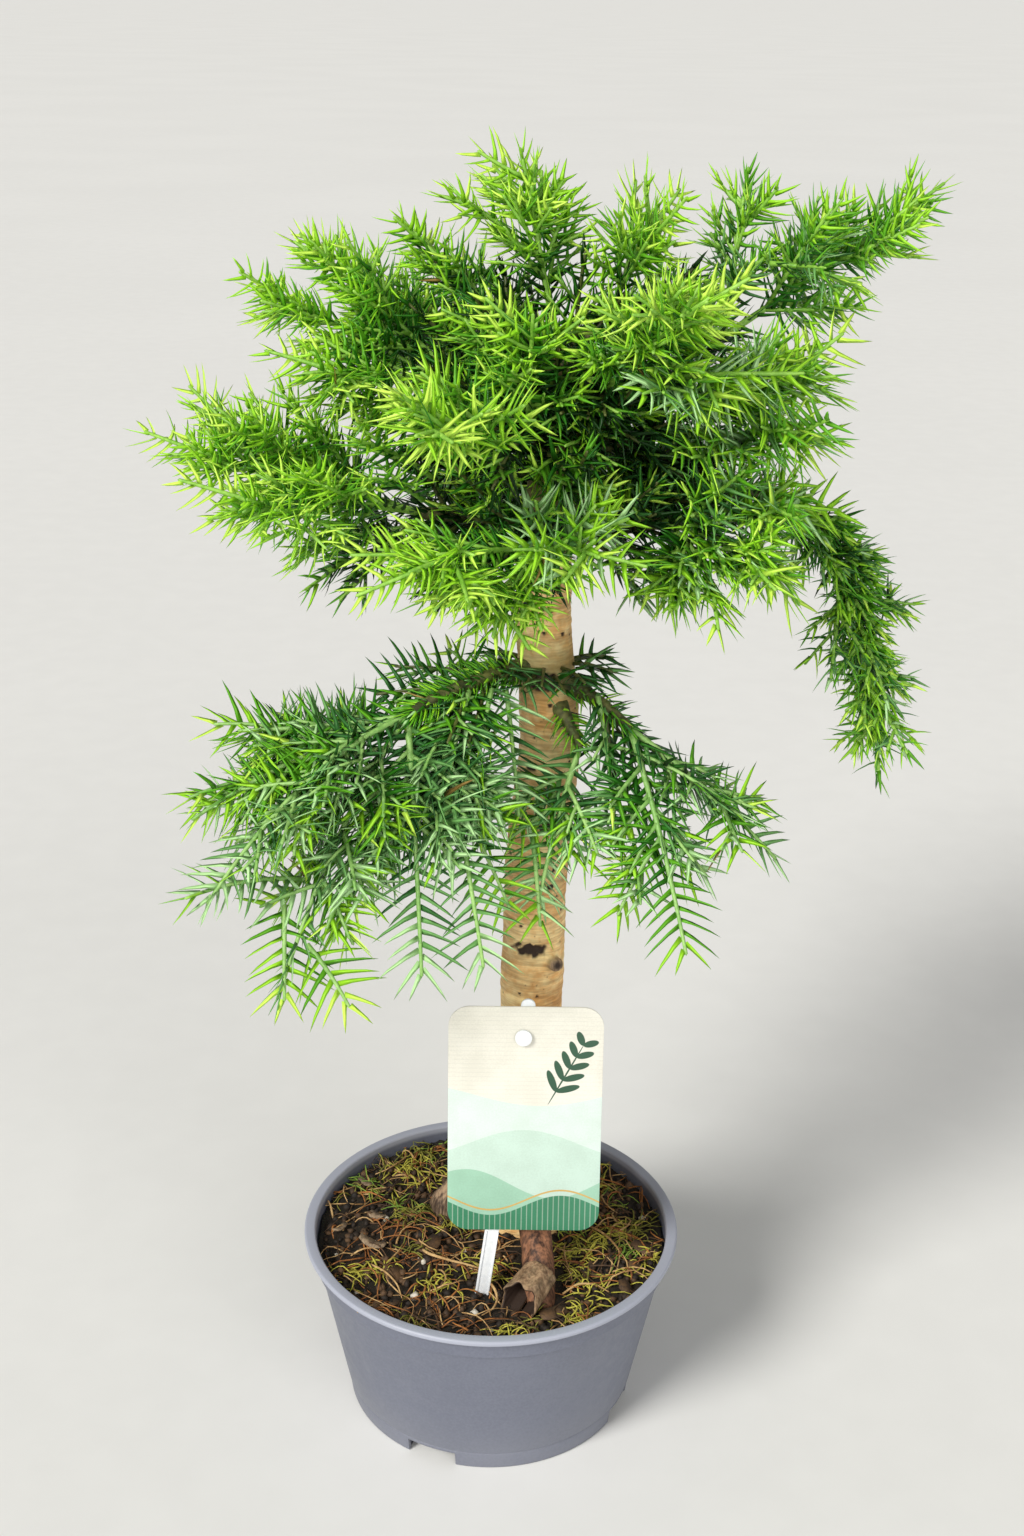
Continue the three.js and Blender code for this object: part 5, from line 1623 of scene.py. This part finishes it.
def makeLitter():
    rng = np.random.default_rng(litter["seed"])
    kind = {name: i for i, name in enumerate(litterTones)}
    mosses = [kind["mossYellow"], kind["mossOlive"], kind["mossGreen"]]
    straws = [kind["strawTan"], kind["strawRust"], kind["strawDark"]]
    threads, threadMarks, lumps, lumpMarks = [], [], [], []

    def addThread(points, radius, mark):
        radii = radius * np.interp(np.linspace(0, 1, len(points)), litter["threadAt"], litter["threadTaper"])
        threads.append(tubeArrays(points, radii, litter["sides"]))
        threadMarks.append(mark)

    def addStrand(spot, which, mark):
        length = rng.uniform(*litter[which + "Length"])
        lift = rng.uniform(*litter[which + "Lift"])
        line = strandLine(rng, spot, length, lift, litter[which + "Curl"])
        addThread(line, rng.uniform(*litter[which + "Radius"]), mark)

    for _ in range(litter["clumps"]):
        middle = freeSpot(rng)
        mark = rng.choice(mosses, p=litter["mossShares"])
        for _ in range(rng.integers(*litter["strands"])):
            spot = middle + rng.normal(0, litter["clumpRadius"] * 0.5, 2)
            if np.linalg.norm(spot) < litter["spread"] + 1:
                addStrand(spot, "strand", mark)
    for _ in range(litter["straws"]):
        mark = rng.choice(straws, p=litter["strawShares"])
        addStrand(freeSpot(rng), "straw", mark)
    for radius, places in curls:
        knots = np.array([(x, y, soilHeight(x, y) + lift) for x, y, lift in places], dtype=float)
        t = np.linspace(0, len(knots) - 1, 4 * len(knots))
        line = np.stack([np.interp(t, np.arange(len(knots)), knots[:, k]) for k in range(3)], axis=1)
        for _ in range(3):  # rounds the corners off
            line[1:-1] = (line[:-2] + 2 * line[1:-1] + line[2:]) / 4
        addThread(line, radius, kind["strawTan"])
    for i in range(litter["crumbs"] + litter["pale"]):
        x, y = freeSpot(rng)
        size = rng.uniform(*litter["crumbSize"])
        centre = np.array((x, y, soilHeight(x, y) + size * litter["crumbRise"]))
        lumps.append(lumpArrays(rng, centre, size))
        dark = kind["crumbDark"] if rng.random() < litter["darkShare"] else kind["crumbBrown"]
        lumpMarks.append(kind["paleBit"] if i >= litter["crumbs"] else dark)
    for _ in range(litter["flakes"]):
        x, y = freeSpot(rng)
        centre = np.array((x, y, soilHeight(x, y) + litter["flakeRise"]))
        lumps.append(flakeArrays(rng, centre, rng.uniform(*litter["flakeLength"])))
        lumpMarks.append(kind["flakeGrey"] if rng.random() < litter["greyShare"] else kind["crumbBrown"])
    materials = [mottledMaterial(name, *litter["scales"], *tones, litter["rough"])
                 for name, tones in litterTones.items()]
    for name, parts, marks in (("soilThreads", threads, threadMarks), ("soilCrumbs", lumps, lumpMarks)):
        piece = joinArrays(name, parts, marks, materials)
        print(name, len(parts), "bits,", len(piece.data.polygons), "triangles")


settle(makeSoil(), ["soil"], [soilMaterial()])
makeLitter()


# label: a plain card with a leafy pattern, pegged to a slim stake

label = dict(
    foot=(-3.2, -36, 67.3), leanBack=7,
    width=58, height=92, corner=8, thick=0.7, x=15.4, bottom=27.5, edgeRound=0.12,
    stakeLength=122, stakeTop=16.4, stakeWidth=5.4, stakeThick=1.3, stakeBury=5, stakeRound=0.2, gap=0.3,
    bead=0.9, beadRise=0.5, ribWidth=1.2, ribDepth=1.8, ribShort=12, ribSink=0.4,
    pegHeight=107.5, pegRadius=1.5, pegSink=0.6, headRadius=3.2, headDepth=1.5, headSink=0.2, headRound=0.35,
)


def onLabel():
    # from the leaning face, x right, y up and z toward the viewer, to the pot's frame
    turn = Matrix.Rotation(math.radians(90 - label["leanBack"]), 4, "X")
    return Matrix.Translation(Vector(label["foot"]) * mm) @ turn


def placeOnLabel(obj):
    pickOnly(obj)
    bpy.ops.object.transform_apply(location=True, rotation=True, scale=True)
    obj.matrix_world = onLabel()


def block(size, centre):
    bpy.ops.mesh.primitive_cube_add(size=1)
    obj = bpy.context.object
    obj.scale = Vector(size) * mm
    obj.location = Vector(centre) * mm
    bpy.ops.object.transform_apply(location=True, rotation=True, scale=True)
    return obj


def roundedSheet(width, height, centre, corner, thick, test):
    # a flat sheet with the corners that test() picks rounded, then given its thickness
    bpy.ops.mesh.primitive_plane_add(size=1)
    obj = bpy.context.object
    obj.scale = (width * mm, height * mm, 1)
    obj.location = Vector(centre) * mm
    bpy.ops.object.transform_apply(location=True, rotation=True, scale=True)
    bpy.ops.object.mode_set(mode="EDIT")
    selectVerts(obj, test)
    bpy.ops.mesh.bevel(offset=corner * mm, segments=8, affect="VERTICES")
    bpy.ops.mesh.select_all(action="SELECT")
    bpy.ops.mesh.extrude_region_move(TRANSFORM_OT_translate={"value": (0, 0, thick * mm)})
    bpy.ops.mesh.select_all(action="SELECT")
    bpy.ops.mesh.normals_make_consistent(inside=False)
    bpy.ops.object.mode_set(mode="OBJECT")
    return obj


def makeCard():
    p = label
    middle = (p["x"], p["bottom"] + p["height"] / 2, 0)
    sheet = roundedSheet(p["width"], p["height"], middle, p["corner"], p["thick"], lambda co: True)
    sheet.name = "labelCard"
    softenEdges(sheet, p["edgeRound"])
    placeOnLabel(sheet)
    return sheet


def makeStake():
    p = label
    length = math.hypot(p["stakeTop"], p["stakeLength"])
    behind = -p["gap"] - p["stakeThick"]
    whole = length + p["stakeBury"]
    middle = (length - p["stakeBury"]) / 2
    strip = roundedSheet(p["stakeWidth"], whole, (0, middle, behind), 0.49 * p["stakeWidth"], p["stakeThick"],
                         lambda co: co.y > middle * mm)
    low = p["bottom"] + p["stakeBury"] - 1   # the beads run up to the card
    parts = [strip]
    for side in (-1, 1):
        parts.append(block((p["bead"], low, p["beadRise"] * 2),
                           (side * (p["stakeWidth"] - p["bead"]) / 2, low / 2 - p["stakeBury"], -p["gap"])))
    parts.append(block((p["ribWidth"], length - p["ribShort"], p["ribDepth"] + p["ribSink"]),
                       (0, length / 2, behind - p["ribDepth"] / 2 + p["ribSink"] / 2)))
    stake = joinAll(parts, "labelStake")
    softenEdges(stake, p["stakeRound"])
    stake.rotation_euler.z = -math.atan2(p["stakeTop"], p["stakeLength"])
    bpy.ops.object.transform_apply(location=True, rotation=True, scale=True)
    pegX = p["stakeTop"] * p["pegHeight"] / p["stakeLength"]
    front = p["thick"] + p["gap"]
    for radius, near, far in ((p["pegRadius"], -p["gap"] - p["pegSink"], front + p["headSink"]),
                              (p["headRadius"], front, front + p["headDepth"])):
        bpy.ops.mesh.primitive_cylinder_add(vertices=40, radius=radius * mm, depth=(far - near) * mm,
                                            location=Vector((pegX, p["pegHeight"], (near + far) / 2)) * mm)
        peg = bpy.context.object
        bpy.ops.object.transform_apply(location=True, rotation=True, scale=True)
        softenEdges(peg, p["headRound"])
        stake = joinAll([stake, peg], "labelStake")
    placeOnLabel(stake)
    return stake


def labelPlace(tree):
    # the leaning face in millimetres
    where = tree.nodes.new("ShaderNodeTexCoord")
    mapping = tree.nodes.new("ShaderNodeMapping")
    mapping.vector_type = "TEXTURE"
    mapping.inputs["Location"].default_value = Vector(label["foot"]) * mm
    mapping.inputs["Rotation"].default_value = (math.radians(90 - label["leanBack"]), 0, 0)
    mapping.inputs["Scale"].default_value = (mm, mm, mm)
    tree.links.new(where.outputs["Object"], mapping.inputs["Vector"])
    return mapping.outputs[0]


# the card's pattern: rolling bands, each with its middle height, rise, wave length, shift and colour
bands = [
    (84, 4.5, 16.0, 3.4, (212, 227, 219)),
    (64, 5.5, 13.0, 0.4, (196, 219, 206)),
    (47, 6.0, 10.5, 2.2, (158, 200, 176)),
    (38, 4.2, 8.6, 4.4, (62, 132, 98)),
]
card = dict(
    cream=(228, 225, 213), ruled=(212, 210, 199), ruleStep=3.6, ruleEdge=(0.55, 0.95), ruleShare=0.35,
    bandEdge=(-0.08, 0.08), stripe=(236, 240, 228), stripeStep=3.1, stripeEdge=(0.7, 0.95), stripeShare=0.30,
    line=(206, 170, 96), lineAt=2.2, lineEdge=(0.42, 0.28), sprig=(46, 84, 62), sprigEdge=(1.04, 0.96),
    frontEdge=(0.15, 0.35), fibres=(0.09, 1.4, (238, 238, 236), white), fibreShare=0.7, rough=0.42,
)
sprig = dict(foot=(24, 80), turn=62, length=28, stemHalf=0.32, pairs=5, firstLeaf=0.22, leafSpan=0.76,
             leafLong=4.6, leafShrink=0.09, leafWide=1.35, splay=48)


def labelMaterial():
    material, tree, shader = newMaterial("printedCard")
    where = labelPlace(tree)
    axes = tree.nodes.new("ShaderNodeSeparateXYZ")
    tree.links.new(where, axes.inputs[0])
    across, up, toward = axes.outputs

    def waves(value, step):
        return math2(tree, "SINE", math2(tree, "MULTIPLY", value, step))

    ruled = spread(tree, waves(up, card["ruleStep"]), *card["ruleEdge"])
    colour = layOver(tree, paint(*card["cream"]), card["ruled"], ruled, card["ruleShare"])
    for height, rise, length, shift, shade in bands:
        wave = math2(tree, "SINE", math2(tree, "ADD", math2(tree, "DIVIDE", across, length), shift))
        edge = math2(tree, "ADD", math2(tree, "MULTIPLY", wave, rise), height)
        depth = math2(tree, "SUBTRACT", edge, up)
        onBand = spread(tree, depth, *card["bandEdge"])
        colour = mixColours(tree, onBand, colour, paint(*shade))
    # the last and darkest band is striped, with a fine line over it
    stripes = spread(tree, waves(across, card["stripeStep"]), *card["stripeEdge"])
    onStripe = math2(tree, "MULTIPLY", stripes, onBand)
    colour = layOver(tree, colour, card["stripe"], onStripe, card["stripeShare"])
    line = math2(tree, "ABSOLUTE", math2(tree, "ADD", depth, card["lineAt"]))
    colour = mixColours(tree, spread(tree, line, *card["lineEdge"]), colour, paint(*card["line"]))
    for centre, turn, size in sprigParts():
        leaf = tree.nodes.new("ShaderNodeMapping")
        leaf.vector_type = "TEXTURE"
        leaf.inputs["Location"].default_value = (*centre, 0)
        leaf.inputs["Rotation"].default_value = (0, 0, math.radians(turn))
        leaf.inputs["Scale"].default_value = (*size, 1000)    # flat in depth
        tree.links.new(where, leaf.inputs["Vector"])
        away = tree.nodes.new("ShaderNodeVectorMath")
        away.operation = "LENGTH"
        tree.links.new(leaf.outputs[0], away.inputs[0])
        onLeaf = spread(tree, away.outputs["Value"], *card["sprigEdge"])
        colour = mixColours(tree, onLeaf, colour, paint(*card["sprig"]))
    isFront = spread(tree, toward, *card["frontEdge"])    # the back stays plain
    colour = mixColours(tree, isFront, paint(*card["cream"]), colour)
    fibres = blotches(tree, where, *card["fibres"])
    colour = mixColours(tree, card["fibreShare"], colour, fibres["Colour"], "MULTIPLY")
    tree.links.new(colour, shader.inputs["Base Color"])
    shader.inputs["Roughness"].default_value = card["rough"]
    return material


def sprigParts():
    # centre, turn and half sizes of a stem and its leaves
    s = sprig
    way = np.array((math.cos(math.radians(s["turn"])), math.sin(math.radians(s["turn"]))))
    foot = np.array(s["foot"], dtype=float)
    parts = [(foot + way * s["length"] / 2, s["turn"], (s["length"] / 2, s["stemHalf"]))]
    for i in range(s["pairs"]):
        at = foot + way * s["length"] * (s["firstLeaf"] + s["leafSpan"] * i / (s["pairs"] - 1))
        long = s["leafLong"] * (1 - s["leafShrink"] * i)
        for side in (-1, 1):
            turn = s["turn"] + side * s["splay"]
            out = np.array((math.cos(math.radians(turn)), math.sin(math.radians(turn))))
            parts.append((at + out * long, turn, (long, s["leafWide"])))
    return parts


whitePlastic = dict(tones=(40.0, 500.0, (222, 226, 230), (238, 241, 243)), rough=0.3)
settle(makeCard(), ["label_card"], [labelMaterial()])
settle(makeStake(), ["label_stake"],
       [mottledMaterial("whitePlastic", *whitePlastic["tones"], whitePlastic["rough"])])
print("soil, litter and label made")
